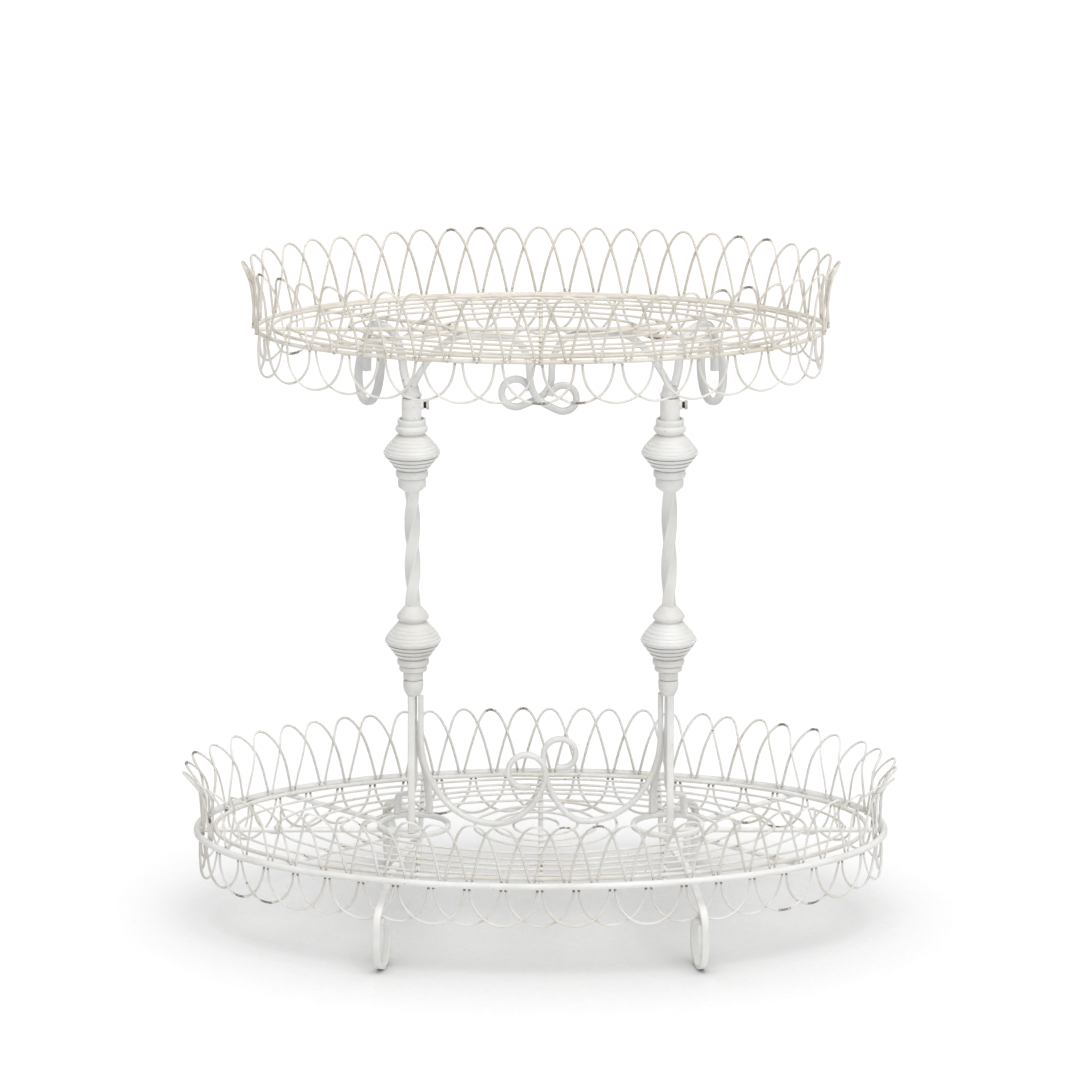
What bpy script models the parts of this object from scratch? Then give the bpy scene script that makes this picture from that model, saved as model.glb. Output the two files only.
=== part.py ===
"""A two-tier oval wirework plant stand.

Two oval wire trays stand one above the other. Each tray is a bent rim rod with a looped wire wall,
a hanging scalloped edge and a floor of nested wire ovals on round bars. Two turned and twisted
columns stand on the lower tray's floor and end in sleeves. The upper tray's posts plug into the
sleeves and a hexagon-headed set screw clamps each one. Four scrolled feet carry the stand.

Metres, +Z up, +X along the trays, -Y towards the front. The ground is z = 0.
"""
import math

import bmesh
import bpy
from mathutils import Vector

# Clearance between pieces that touch.
GAP = 0.0003

# How deep welded pieces of one body sink into each other.
WELD = 0.0006

# Lower tray, measured on the centreline of its rim rod.
LOWER_HALF_LENGTH = 0.400
LOWER_HALF_WIDTH = 0.220
LOWER_HEIGHT = 0.109
LOWER_ROD = 0.008
LOWER_BAR = 0.006
LOWER_RING_WIRE = 0.005
LOWER_RING_INSET = 0.021
LOWER_ARCH_HEIGHT = 0.075
LOWER_ARCH_FLARE = 0.020
LOWER_ARCH_COUNT = 56
LOWER_SCALLOP_DROP = 0.0430
LOWER_SCALLOP_COUNT = 48
LOWER_OVAL_LENGTH_INSET = 0.047
LOWER_OVAL_WIDTH_INSET = 0.035
LOWER_OVAL_LEAST_WIDTH = 0.102

# Upper tray, measured on the centreline of its rim rod.
UPPER_HALF_LENGTH = 0.323
UPPER_HALF_WIDTH = 0.178
UPPER_ROD = 0.005
UPPER_BAR = 0.005
UPPER_THIN_BAR = 0.0046
UPPER_RING_WIRE = 0.004
UPPER_RING_INSET = 0.018
UPPER_ARCH_HEIGHT = 0.077
UPPER_ARCH_FLARE = 0.010
UPPER_ARCH_COUNT = 48
UPPER_SCALLOP_DROP = 0.0420
UPPER_SCALLOP_COUNT = 36
UPPER_OVAL_LENGTH_INSET = 0.035
UPPER_OVAL_WIDTH_INSET = 0.032
UPPER_OVAL_LEAST_LENGTH = 0.110
UPPER_OVAL_LEAST_WIDTH = 0.052
UPPER_DIAGONAL_START_SHARE = 0.24

# Where each wall's first arch stands, in pitches from the tray's +X end.
LOWER_ARCH_START = 0.5
UPPER_ARCH_START = 0.05

# Wire of the walls, edges and floors.
WIRE = 0.003
WIRE_SIDES = 3
ROD_SIDES = 6
OVAL_SIDES = 32
OVAL_EXPONENT = 1.8

# Where the floor ovals lie between the largest and the smallest one, for the length and the width.
LOWER_OVAL_SHARES = ((1.0, 1.0), (0.696, 0.735), (0.453, 0.518), (0.182, 0.313), (0.0, 0.0))
UPPER_OVAL_SHARES = ((1.0, 1.0), (0.798, 0.766), (0.596, 0.532), (0.213, 0.277), (0.0, 0.0))

# One wall arch, half of it, as shares of the pitch and of the wall's height. The last value is
# the share of the flare. The edge's scallops hang the other way up.
ARCH_SHARES = ((0.92, 0.0, 0.0), (0.66, 0.50, 0.0), (0.38, 0.84, 0.45), (0.0, 1.0, 1.0))
SCALLOP_SHARES = ((0.92, 0.0), (0.80, 0.50), (0.46, 0.88), (0.0, 1.0))
ARCH_SPREAD = 0.0018
SCALLOP_SPREAD = 0.0014

# Bars under the floors, by the number of arches between the tray's end and the bar's end.
DIAGONAL_BAR_ARCH = 5
CROSS_BAR_ARCH = 10
UPPER_DIAGONAL_ARCH = 3.75

# Spiral in the middle of the lower floor.
SPIRAL_INNER_RADIUS = 0.020
SPIRAL_OUTER_RADIUS = 0.0945
SPIRAL_SET_BACK = 0.005
SPIRAL_TURNS = 3.25
SPIRAL_TURN_POINTS = 14

# Columns.
COLUMN_SPACING = 0.295
BASE_RING_RADIUS = 0.040
BASE_RING_BAR = 0.006
BASE_RING_POINTS = 20
BASE_RING_CLEARANCE = 0.0145
STRAP_HEIGHT = 0.1545
STRAP_WIDTH = 0.009
STRAP_THICKNESS = 0.005
STRAP_TOP_RADIUS = 0.0076
STRAP_POINTS = 9
REAR_STRAP_ANGLE = 115
OUTER_STRAP_ANGLE = 60
EVEN_STRAP_SHARES = (0.5, 0.5)
OUTER_STRAP_SHARES = (0.88, 0.30)
COLLAR_RADIUS = 0.0117
COLLAR_HEIGHT = 0.015
LOWER_KNOP_HEIGHT = 0.0918
UPPER_KNOP_HEIGHT = 0.0860
KNOP_RADIUS = 0.033
TURNED_SIDES = 12
TWIST_LENGTH = 0.1354
TWIST_BAR = 0.0137
TWIST_TURNS = 0.66
TWIST_START_SHARE = 0.03
TWIST_STEPS = 24

# Profile of a turned knop, bottom to top, as shares of its height and of its largest radius. The
# lower knop starts with a neck and the upper one with a ring.
NECK_SHARES = ((0.020, 0.335), (0.092, 0.335), (0.160, 0.29))
RING_SHARES = ((0.000, 0.33), (0.055, 0.36), (0.066, 0.47), (0.140, 0.47), (0.152, 0.40))
KNOP_SHARES = (
    (0.185, 0.55), (0.262, 0.55), (0.284, 0.47), (0.350, 0.64), (0.366, 0.60),
    (0.430, 0.80), (0.446, 0.76), (0.515, 0.98), (0.552, 1.00), (0.612, 0.86),
    (0.624, 0.80), (0.680, 0.70), (0.692, 0.64), (0.785, 0.455), (0.808, 0.43),
)
BEAD_SHARES = ((0.850, 0.56), (0.965, 0.56), (1.000, 0.42))
FLANGE_SHARES = ((0.825, 0.53), (0.890, 0.56), (0.915, 0.50), (0.950, 0.45), (0.958, 0.49), (1.000, 0.49))

# Profile of the collar as shares of its height and radius: a cup, narrow at its foot.
COLLAR_SHARES = ((0.00, 0.70), (0.25, 0.88), (0.60, 1.00), (0.94, 1.00), (1.00, 0.90))

# Scrolls between the columns: a flat bar bent on edge, ending in a loop at the middle.
SCROLL_WIDTH = 0.009
SCROLL_THICKNESS = 0.006
SCROLL_SIDE_SET = 0.0048
SCROLL_STEM_SET = 0.0088
SCROLL_VALLEY = 0.052
LOOP_POINTS = 14
LEFT_LOOP_PAST_CENTRE = -0.0180
LEFT_LOOP_HEIGHT = 0.0650
LEFT_LOOP_RADIUS = 0.0235
RIGHT_LOOP_PAST_CENTRE = -0.0235
RIGHT_LOOP_HEIGHT = 0.0840
RIGHT_LOOP_RADIUS = 0.0205
LOOP_TIGHTENING_SHARE = 0.25

# Feet: a flat bar under the floor that turns down into a loop.
FOOT_INSET = 0.0123
FOOT_SPLAY = 12.3
FOOT_WIDTH = 0.010
FOOT_THICKNESS = 0.0045
FOOT_LOOP_RADIUS = 0.0255
FOOT_LOOP_POINTS = 18
FOOT_BEND = 0.048
FOOT_ROOT = 0.024

# Sleeves, posts and set screws.
SLEEVE_RADIUS = 0.0113
SLEEVE_BORE_RADIUS = 0.0083
SLEEVE_SHOW = 0.0240
SLEEVE_SEAT_SHARE = 0.22
POST_LENGTH = 0.078
POST_HEAD_RADIUS = 0.0109
POST_HEAD_HEIGHT = 0.0160
POST_CHAMFER = 0.0015
BOSS_RADIUS = 0.0055
BOSS_REACH = 0.0138
SCREW_DROP = 0.0085
SCREW_RADIUS = 0.003
SCREW_TIP_RADIUS = 0.0022
SCREW_HEAD_RADIUS = 0.0056
SCREW_HEAD_HEIGHT = 0.0050
SCREW_STAND_OFF = 0.0012

# Arms of the upper tray's posts.
ARM_WIDTH = 0.009
ARM_THICKNESS = 0.0075
ARM_ROOT_SET = 0.0045
ARM_RISE = 0.05665
ARM_SIDE_SET = 0.00465
ARM_POINTS = 8
OUTER_ARM_TURN = 66
OUTER_ARM_SIDE_SET = 0.007
OUTER_ARM_REACH = 0.124
INNER_ARM_SHOULDER = 0.060
INNER_ARM_BEND = 0.045
INNER_ARM_HANG = 0.0126
INNER_ARM_HANG_DROP = 0.045
LEFT_ARM_LOOP_PAST = 0.0255
LEFT_ARM_LOOP_DROP = 0.0727
LEFT_ARM_LOOP_RADIUS = 0.0153
RIGHT_ARM_LOOP_PAST = 0.0285
RIGHT_ARM_LOOP_DROP = 0.0687
RIGHT_ARM_LOOP_RADIUS = 0.0165

# The outer arm's line after its root: how far out, and how far below the floor bars, as shares
# of its reach. It rises, runs over, hangs in an open loop and curls up inside it.
OUTER_ARM_SHARES = (
    (0.03, -0.37), (0.06, -0.265), (0.10, -0.175), (0.17, -0.080), (0.27, -0.024), (0.42, -0.004),
    (0.57, -0.007), (0.70, -0.055), (0.81, -0.19), (0.92, -0.37), (0.99, -0.56), (0.985, -0.70),
    (0.91, -0.815), (0.76, -0.825), (0.62, -0.71), (0.54, -0.54), (0.515, -0.37), (0.545, -0.235),
    (0.64, -0.185), (0.75, -0.25), (0.80, -0.38), (0.81, -0.52),
)

WHITE = (0.80, 0.80, 0.78)
CREAM = (0.80, 0.77, 0.70)
SCREW_GREY = (0.62, 0.61, 0.58)


def start_empty():
    """Removes whatever the scene holds."""
    for item in list(bpy.data.objects):
        bpy.data.objects.remove(item, do_unlink=True)


def paint(name, colour, roughness):
    """Makes a painted-metal material."""
    material = bpy.data.materials.new(name)
    material.use_nodes = True
    shader = material.node_tree.nodes["Principled BSDF"]
    shader.inputs["Base Color"].default_value = (*colour, 1.0)
    shader.inputs["Roughness"].default_value = roughness
    shader.inputs["Metallic"].default_value = 0.0
    return material


def add_piece(name, bm, material, parent=None, smooth_angle=40):
    """Turns a finished bmesh into a named object with its faces pointing out."""
    bmesh.ops.recalc_face_normals(bm, faces=bm.faces)
    mesh = bpy.data.meshes.new(name)
    bm.to_mesh(mesh)
    bm.free()
    mesh.shade_smooth()
    mesh.set_sharp_from_angle(angle=math.radians(smooth_angle))
    mesh.materials.append(material)
    item = bpy.data.objects.new(name, mesh)
    bpy.context.collection.objects.link(item)
    if parent is not None:
        item.parent = parent
        item.matrix_parent_inverse = parent.matrix_world.inverted()
    return item


def add_axis(name, place):
    """Makes an empty on a joint's axis."""
    empty = bpy.data.objects.new(name, None)
    empty.location = place
    bpy.context.collection.objects.link(empty)
    bpy.context.view_layer.update()
    return empty


def round_section(diameter, sides, turn=0.0):
    """Corners of a round section, the first one pointing along the first side axis."""
    corners = []
    for i in range(sides):
        angle = turn + math.tau * i / sides
        corners.append((diameter / 2 * math.cos(angle), diameter / 2 * math.sin(angle)))
    return corners


def flat_reach(diameter, sides):
    """How far the flats of a round section lie from its centre."""
    return diameter / 2 * math.cos(math.pi / sides)


def flat_section(width, thickness):
    """Corners of a flat bar's section: width along the first side axis."""
    return [(width / 2, thickness / 2), (-width / 2, thickness / 2),
            (-width / 2, -thickness / 2), (width / 2, -thickness / 2)]


def skin(bm, rings, closed):
    """Joins rings of corners into a tube, capped unless it closes on itself."""
    loops = [[bm.verts.new(corner) for corner in ring] for ring in rings]
    count = len(loops[0])
    follow = loops[1:] + loops[:1] if closed else loops[1:]
    for near, far in zip(loops, follow):
        for i in range(count):
            j = (i + 1) % count
            bm.faces.new((near[i], near[j], far[j], far[i]))
    if not closed:
        bm.faces.new(loops[0])
        bm.faces.new(reversed(loops[-1]))


def sweep(bm, path, side_axes, section, closed=False):
    """Sweeps a section along a path, mitred at each bend. side_axes gives the first side axis."""
    rings = []
    last = len(path) - 1
    for i, place in enumerate(path):
        before = (place - path[i - 1]).normalized() if closed or i > 0 else None
        after = (path[(i + 1) % len(path)] - place).normalized() if closed or i < last else None
        before = before or after
        after = after or before
        along = (before + after).normalized()
        bend = after - before
        side = side_axes[i] - along * side_axes[i].dot(along)
        side.normalize()
        other = along.cross(side)
        ring = []
        for a, b in section:
            offset = side * a + other * b
            if bend.length > 0:
                direction = bend.normalized()
                stretch = 1 / max(along.dot(after), 0.5) - 1
                offset = offset + direction * offset.dot(direction) * stretch
            ring.append(place + offset)
        rings.append(ring)
    skin(bm, rings, closed)


def turned(bm, profile, centre, sides, hollow=False):
    """Turns a profile of (radius, height) about a vertical axis. A hollow one closes on itself."""
    rings = []
    for radius, height in profile:
        ring = []
        for i in range(sides):
            angle = math.tau * (i + 0.5) / sides
            ring.append(Vector((centre.x + radius * math.cos(angle),
                                centre.y + radius * math.sin(angle), height)))
        rings.append(ring)
    skin(bm, rings, hollow)


def bezier(start, lead, trail, end, count):
    """Points on a cubic curve, with both ends."""
    points = []
    for i in range(count):
        t = i / (count - 1)
        s = 1 - t
        points.append(start * s ** 3 + lead * (3 * s * s * t) + trail * (3 * s * t * t) + end * t ** 3)
    return points


def smoothed(points, steps):
    """Points on a smooth line through the given points of a plane."""
    line = []
    last = len(points) - 1
    for i in range(last):
        a, b = points[max(i - 1, 0)], points[i]
        c, d = points[i + 1], points[min(i + 2, last)]
        for step in range(steps):
            t = step / steps
            line.append(b * (1 + t * t * (1.5 * t - 2.5)) + c * (t * (0.5 + t * (2 - 1.5 * t)))
                        + a * (t * (-0.5 + t * (1 - 0.5 * t))) + d * (t * t * (0.5 * t - 0.5)))
    return line + [points[last]]


def spiral_arc(centre, first_radius, last_radius, first_angle, last_angle, count):
    """Points round a centre in a plane, the radius changing steadily, with both ends."""
    points = []
    for i in range(count):
        t = i / (count - 1)
        angle = math.radians(first_angle + (last_angle - first_angle) * t)
        radius = first_radius + (last_radius - first_radius) * t
        points.append(centre + Vector((radius * math.cos(angle), radius * math.sin(angle))))
    return points


class Plane:
    """A vertical plane through a place. Points in it are (distance out, height)."""

    def __init__(self, origin, direction):
        self.origin = origin
        self.direction = direction.normalized()
        self.normal = Vector((-self.direction.y, self.direction.x, 0.0))

    def lift(self, point):
        """Turns a point of the plane into a place in space."""
        flat = self.origin + self.direction * point.x
        return Vector((flat.x, flat.y, point.y))


def flat_bar(name, plane, points, width, thickness, material, parent=None):
    """Bends a flat bar along points of a plane, its width across the plane."""
    path = [plane.lift(point) for point in points]
    bm = bmesh.new()
    sweep(bm, path, [plane.normal] * len(path), flat_section(width, thickness))
    return add_piece(name, bm, material, parent)


def round_bar(name, start, end, diameter, material, parent=None):
    """A straight round bar."""
    bm = bmesh.new()
    sweep(bm, [start, end], [Vector((0.0, 0.0, 1.0))] * 2, round_section(diameter, ROD_SIDES))
    return add_piece(name, bm, material, parent)


def reshape(item, other, operation):
    """Joins another piece to an item, or cuts it away. The other piece only guides the shape."""
    other.hide_render = True
    other.display_type = "WIRE"
    change = item.modifiers.new(other.name, "BOOLEAN")
    change.object = other
    change.operation = operation


class Rim:
    """A rim rod's centreline: an oval of straight runs, which everything round it follows."""

    def __init__(self, half_length, half_width, height, sides):
        self.height = height
        self.corners = []
        for i in range(sides):
            angle = math.tau * i / sides
            self.corners.append(Vector((half_length * math.cos(angle), half_width * math.sin(angle), 0.0)))
        self.mitres = []
        for i, corner in enumerate(self.corners):
            before = (corner - self.corners[i - 1]).normalized()
            after = (self.corners[(i + 1) % sides] - corner).normalized()
            along = (before + after).normalized()
            normal = Vector((along.y, -along.x, 0.0))
            self.mitres.append(normal / along.dot(after))
        self.marks = [0.0]
        for i, corner in enumerate(self.corners):
            run = (self.corners[(i + 1) % sides] - corner).length
            self.marks.append(self.marks[-1] + run)

    def length(self):
        """The way once round."""
        return self.marks[-1]

    def place(self, way, outward, rise):
        """The place a given way round from the +X end, moved outward and up."""
        way = way % self.length()
        i = 0
        while self.marks[i + 1] < way:
            i += 1
        t = (way - self.marks[i]) / (self.marks[i + 1] - self.marks[i])
        j = (i + 1) % len(self.corners)
        base = self.corners[i].lerp(self.corners[j], t)
        normal = self.mitres[i].lerp(self.mitres[j], t)
        return base + normal * outward + Vector((0.0, 0.0, self.height + rise))

    def outward(self, way):
        """The level direction away from the tray, a given way round."""
        return (self.place(way, GAP, 0.0) - self.place(way, 0.0, 0.0)).normalized()

    def ring(self, outward, rise):
        """Every corner, moved outward and up."""
        return [corner + mitre * outward + Vector((0.0, 0.0, self.height + rise))
                for corner, mitre in zip(self.corners, self.mitres)]


def wave_wire(name, rim, count, first, start, shape, material, parent):
    """A closed wire that loops round the rim.

    count is the number of loops on the rim, of which this wire has every other one from first.
    start is where loop 0 stands, in pitches from the +X end.
    shape lists one loop's points as (way, outward, rise) in metres, left to right.
    """
    pitch = rim.length() / count
    path = []
    sides = []
    for k in range(first, count, 2):
        centre = (k + start) * pitch
        for way, outward, rise in shape:
            path.append(rim.place(centre + way, outward, rise))
            sides.append(rim.outward(centre + way))
    bm = bmesh.new()
    sweep(bm, path, sides, round_section(WIRE, WIRE_SIDES), closed=True)
    return add_piece(name, bm, material, parent)


def mirror_shares(half):
    """Both halves of a loop from one half that ends at its middle."""
    left = [(-entry[0], *entry[1:]) for entry in half]
    right = list(reversed(half))[1:]
    return left + right


def arch_shape(rim, count, height, flare, foot_outward, foot_rise, spread):
    """One wall arch. It rises from its foot, steps aside by spread and flares at its top."""
    pitch = rim.length() / count
    shape = []
    for way, up, out in mirror_shares(ARCH_SHARES):
        step = spread if up > 0 else 0.0
        shape.append((way * pitch, foot_outward + step + flare * out, foot_rise + height * up))
    return shape


def scallop_shape(rim, count, drop, outward, top):
    """One hanging scallop, from its narrow top down and back."""
    pitch = rim.length() / count
    return [(way * pitch, outward, top - drop * down) for way, down in mirror_shares(SCALLOP_SHARES)]


def oval_wire(bm, half_length, half_width, height, diameter, exponent):
    """One closed wire oval, pointed at its ends when the exponent is under 2."""
    path = []
    sides = []
    for i in range(OVAL_SIDES):
        angle = math.tau * i / OVAL_SIDES
        cosine = math.cos(angle)
        sine = math.sin(angle)
        x = half_length * math.copysign(abs(cosine) ** (2 / exponent), cosine)
        y = half_width * math.copysign(abs(sine) ** (2 / exponent), sine)
        path.append(Vector((x, y, height)))
        sides.append(Vector((0.0, 0.0, 1.0)))
    sweep(bm, path, sides, round_section(diameter, WIRE_SIDES), closed=True)


class Tray:
    """The sizes of one tray and the pieces that both trays have."""

    def __init__(self, label, rim, rod, bar, ring_wire, ring_inset, material, parent):
        self.label = label
        self.rim = rim
        self.rod = rod
        self.bar = bar
        self.ring_wire = ring_wire
        self.ring_inset = ring_inset
        self.material = material
        self.parent = parent
        self.bar_height = rim.height - bar / 2
        self.wire_height = rim.height + GAP + flat_reach(WIRE, WIRE_SIDES)
        self.floor_top = self.wire_height + WIRE / 2
        self.bar_end = -(flat_reach(rod, ROD_SIDES) + GAP)

    def add_rim_rod(self):
        """The bent rod that the wall and the edge hang on."""
        path = self.rim.ring(0.0, 0.0)
        sides = [mitre.normalized() for mitre in self.rim.mitres]
        bm = bmesh.new()
        turn = math.pi / ROD_SIDES
        sweep(bm, path, sides, round_section(self.rod, ROD_SIDES, turn), closed=True)
        add_piece(self.label + "_rim_rod", bm, self.material, self.parent)

    def add_inner_ring(self, name, clearance):
        """The thicker ring that bounds the floor, a clearance above the bars."""
        rise = clearance + flat_reach(self.ring_wire, ROD_SIDES)
        path = self.rim.ring(-self.ring_inset, rise)[::2]
        sides = [Vector((0.0, 0.0, 1.0))] * len(path)
        bm = bmesh.new()
        sweep(bm, path, sides, round_section(self.ring_wire, ROD_SIDES, math.pi / ROD_SIDES), closed=True)
        return add_piece(name, bm, self.material, self.parent)

    def add_walls(self, count, start, height, flare, foot_outward, foot_rise):
        """The two interlaced wires of the wall."""
        for first, name, spread in ((0, "_arch_wire_outer", ARCH_SPREAD), (1, "_arch_wire_inner", -ARCH_SPREAD)):
            shape = arch_shape(self.rim, count, height, flare, foot_outward, foot_rise, spread)
            wave_wire(self.label + name, self.rim, count, first, start, shape, self.material, self.parent)

    def add_edge(self, count, drop):
        """The two interlaced wires that hang under the rim."""
        slope = math.pi / ROD_SIDES
        reach = flat_reach(self.rod, ROD_SIDES) + GAP
        places = ((0, "_scallop_wire_outer", SCALLOP_SPREAD, WIRE / 2),
                  (1, "_scallop_wire_inner", -SCALLOP_SPREAD, flat_reach(WIRE, WIRE_SIDES)))
        for first, name, outward, wire_reach in places:
            top = -(reach + wire_reach - SCALLOP_SPREAD * math.sin(slope)) / math.cos(slope)
            shape = scallop_shape(self.rim, count, drop, outward, top)
            wave_wire(self.label + name, self.rim, count, first, 1 / 2, shape, self.material, self.parent)

    def add_floor(self, largest, smallest, oval_shares):
        """The nested ovals of the floor, the largest first. The sizes are (half length, half width)."""
        for i, (length_share, width_share) in enumerate(oval_shares):
            half_length = smallest[0] + (largest[0] - smallest[0]) * length_share
            half_width = smallest[1] + (largest[1] - smallest[1]) * width_share
            bm = bmesh.new()
            oval_wire(bm, half_length, half_width, self.wire_height, WIRE, OVAL_EXPONENT)
            add_piece(f"{self.label}_floor_oval_{i + 1}", bm, self.material, self.parent)


def rim_point(tray, count, arch):
    """A place just inside the rim, a number of arches from the tray's +X end."""
    point = tray.rim.place(tray.rim.length() * arch / count, tray.bar_end, 0.0)
    return Vector((point.x, point.y, tray.bar_height))


def bar_end(tray, start, count, arch, side_x, side_y, diameter):
    """Where a bar from start ends, its square end just clear of the rim."""
    point = rim_point(tray, count, arch)
    normal = tray.rim.outward(tray.rim.length() * arch / count)
    end = Vector((point.x * side_x, point.y * side_y, point.z))
    face = Vector((normal.x * side_x, normal.y * side_y, 0.0))
    direction = (end - start).normalized()
    return end - direction * (diameter / 2 * math.tan(direction.angle(face)))


def build_lower_tray(material):
    """The lower tray: rim, wall, edge, floor, bars and spiral."""
    rim = Rim(LOWER_HALF_LENGTH, LOWER_HALF_WIDTH, LOWER_HEIGHT, LOWER_ARCH_COUNT)
    tray = Tray("lower", rim, LOWER_ROD, LOWER_BAR, LOWER_RING_WIRE, LOWER_RING_INSET, material, None)
    tray.add_rim_rod()
    tray.add_inner_ring("lower_inner_ring", GAP)
    foot_outward = -(flat_reach(LOWER_ROD, ROD_SIDES) + GAP + WIRE / 2)
    tray.add_walls(LOWER_ARCH_COUNT, LOWER_ARCH_START, LOWER_ARCH_HEIGHT, LOWER_ARCH_FLARE, foot_outward, 0.0)
    tray.add_edge(LOWER_SCALLOP_COUNT, LOWER_SCALLOP_DROP)
    past_ring = COLUMN_SPACING / 2 + BASE_RING_RADIUS + BASE_RING_BAR / 2 + BASE_RING_CLEARANCE
    tray.add_floor((LOWER_HALF_LENGTH - LOWER_OVAL_LENGTH_INSET, LOWER_HALF_WIDTH - LOWER_OVAL_WIDTH_INSET),
                   (past_ring, LOWER_OVAL_LEAST_WIDTH), LOWER_OVAL_SHARES)

    turns = SPIRAL_TURNS * 360
    points = spiral_arc(Vector((0.0, SPIRAL_SET_BACK)), SPIRAL_INNER_RADIUS, SPIRAL_OUTER_RADIUS, 0, turns,
                        round(SPIRAL_TURNS * SPIRAL_TURN_POINTS) + 1)
    path = [Vector((point.x, point.y, tray.wire_height)) for point in points]
    bm = bmesh.new()
    sweep(bm, path, [Vector((0.0, 0.0, 1.0))] * len(path), round_section(WIRE, WIRE_SIDES))
    add_piece("lower_floor_spiral", bm, material)

    count = LOWER_ARCH_COUNT
    start = Vector((0.0, 0.0, tray.bar_height))
    front = bar_end(tray, start, count, count / 4, 1, -1, LOWER_BAR)
    rear = bar_end(tray, start, count, count / 4, 1, 1, LOWER_BAR)
    round_bar("lower_centre_bar", front, rear, LOWER_BAR, material)
    cross = rim_point(tray, count, CROSS_BAR_ARCH)
    beside = cross.x + LOWER_BAR / 2 + GAP
    for side, label in ((-1, "left"), (1, "right")):
        start = Vector((side * cross.x, 0.0, cross.z))
        front = bar_end(tray, start, count, CROSS_BAR_ARCH, side, -1, LOWER_BAR)
        rear = bar_end(tray, start, count, CROSS_BAR_ARCH, side, 1, LOWER_BAR)
        round_bar("lower_cross_bar_" + label, front, rear, LOWER_BAR, material)
        start = Vector((side * beside, 0.0, cross.z))
        end = bar_end(tray, start, count, 0, side, 1, LOWER_BAR)
        round_bar("lower_axis_bar_" + label, start, end, LOWER_BAR, material)
        centre = Vector((side * COLUMN_SPACING / 2, 0.0, cross.z))
        for depth, depth_label in ((-1, "front"), (1, "rear")):
            end = bar_end(tray, centre, count, DIAGONAL_BAR_ARCH, side, depth, LOWER_BAR)
            start = centre + (end - centre).normalized() * (BASE_RING_RADIUS - BASE_RING_BAR / 2)
            round_bar("lower_diagonal_bar_" + label + "_" + depth_label, start, end, LOWER_BAR, material)
    tray.cross_x = cross.x
    return tray


def build_base_ring(tray, side, label, material):
    """The ring on the floor bars that a column's straps stand on. It returns its top's height."""
    height = tray.rim.height + GAP + BASE_RING_BAR / 2
    path = []
    for i in range(BASE_RING_POINTS):
        angle = math.tau * i / BASE_RING_POINTS
        path.append(Vector((side * COLUMN_SPACING / 2 + BASE_RING_RADIUS * math.cos(angle),
                            BASE_RING_RADIUS * math.sin(angle), height)))
    bm = bmesh.new()
    sweep(bm, path, [Vector((0.0, 0.0, 1.0))] * len(path), flat_section(BASE_RING_BAR, BASE_RING_BAR), closed=True)
    add_piece("base_ring_" + label, bm, material)
    return height + BASE_RING_BAR / 2


def way_to_rim(start_x, across, along):
    """How far the lower rim is from a place on the long axis, in the direction (across, along)."""
    a = (across / LOWER_HALF_LENGTH) ** 2 + (along / LOWER_HALF_WIDTH) ** 2
    b = start_x * across / LOWER_HALF_LENGTH ** 2
    c = (start_x / LOWER_HALF_LENGTH) ** 2 - 1
    return (math.sqrt(b * b - a * c) - b) / a


def build_foot(tray, side, depth, label, material):
    """A foot: from under a cross bar out below the floor, then down into a loop."""
    splay = math.radians(FOOT_SPLAY)
    direction = Vector((side * math.sin(splay), depth * math.cos(splay), 0.0))
    plane = Plane(Vector((side * tray.cross_x, 0.0, 0.0)), direction)
    reach = way_to_rim(tray.cross_x, math.sin(splay), math.cos(splay)) - FOOT_INSET
    height = tray.bar_height - LOWER_BAR / 2 - GAP - FOOT_THICKNESS / 2
    step = 360 / FOOT_LOOP_POINTS
    centre = Vector((reach, FOOT_THICKNESS / 2 + FOOT_LOOP_RADIUS * math.cos(math.radians(step / 2))))
    loop = spiral_arc(centre, FOOT_LOOP_RADIUS, FOOT_LOOP_RADIUS, 2 * step,
                      -13 * step, FOOT_LOOP_POINTS - 2)
    entry_angle = math.radians(2 * step)
    heading = Vector((math.sin(entry_angle), -math.cos(entry_angle)))
    bend = Vector((reach - FOOT_BEND, height))
    drop = height - loop[0].y
    leg = bezier(bend, bend + Vector((drop / 2, 0.0)), loop[0] - heading * (drop / 2), loop[0], ARM_POINTS)
    points = [Vector((FOOT_ROOT, height))] + leg + loop[1:]
    flat_bar("foot_" + label, plane, points, FOOT_WIDTH, FOOT_THICKNESS, material)


def build_strap(name, side, top_offset, foot_offset, heights, shares, material):
    """A strap from under the collar down to the base ring.

    shares say how far down it stays under the collar, and how far up it stands over its foot.
    """
    axis = Vector((side * COLUMN_SPACING / 2, 0.0, 0.0))
    origin = axis + Vector((top_offset.x * side, top_offset.y, 0.0))
    foot = axis + Vector((foot_offset.x * side, foot_offset.y, 0.0))
    foot_height, top_height = heights
    top = origin + Vector((0.0, 0.0, top_height))
    bottom = foot + Vector((0.0, 0.0, foot_height))
    path = bezier(top, top - Vector((0.0, 0.0, STRAP_HEIGHT * shares[0])),
                  bottom + Vector((0.0, 0.0, STRAP_HEIGHT * shares[1])), bottom, STRAP_POINTS)
    across = Plane(origin, foot - origin).normal
    first = across if shares == EVEN_STRAP_SHARES else Vector((math.copysign(1.0, across.x), 0.0, 0.0))
    bm = bmesh.new()
    sweep(bm, path, [first.lerp(across, i / (len(path) - 1)) for i in range(len(path))],
          flat_section(STRAP_WIDTH, STRAP_THICKNESS))
    add_piece(name, bm, material)


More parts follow.
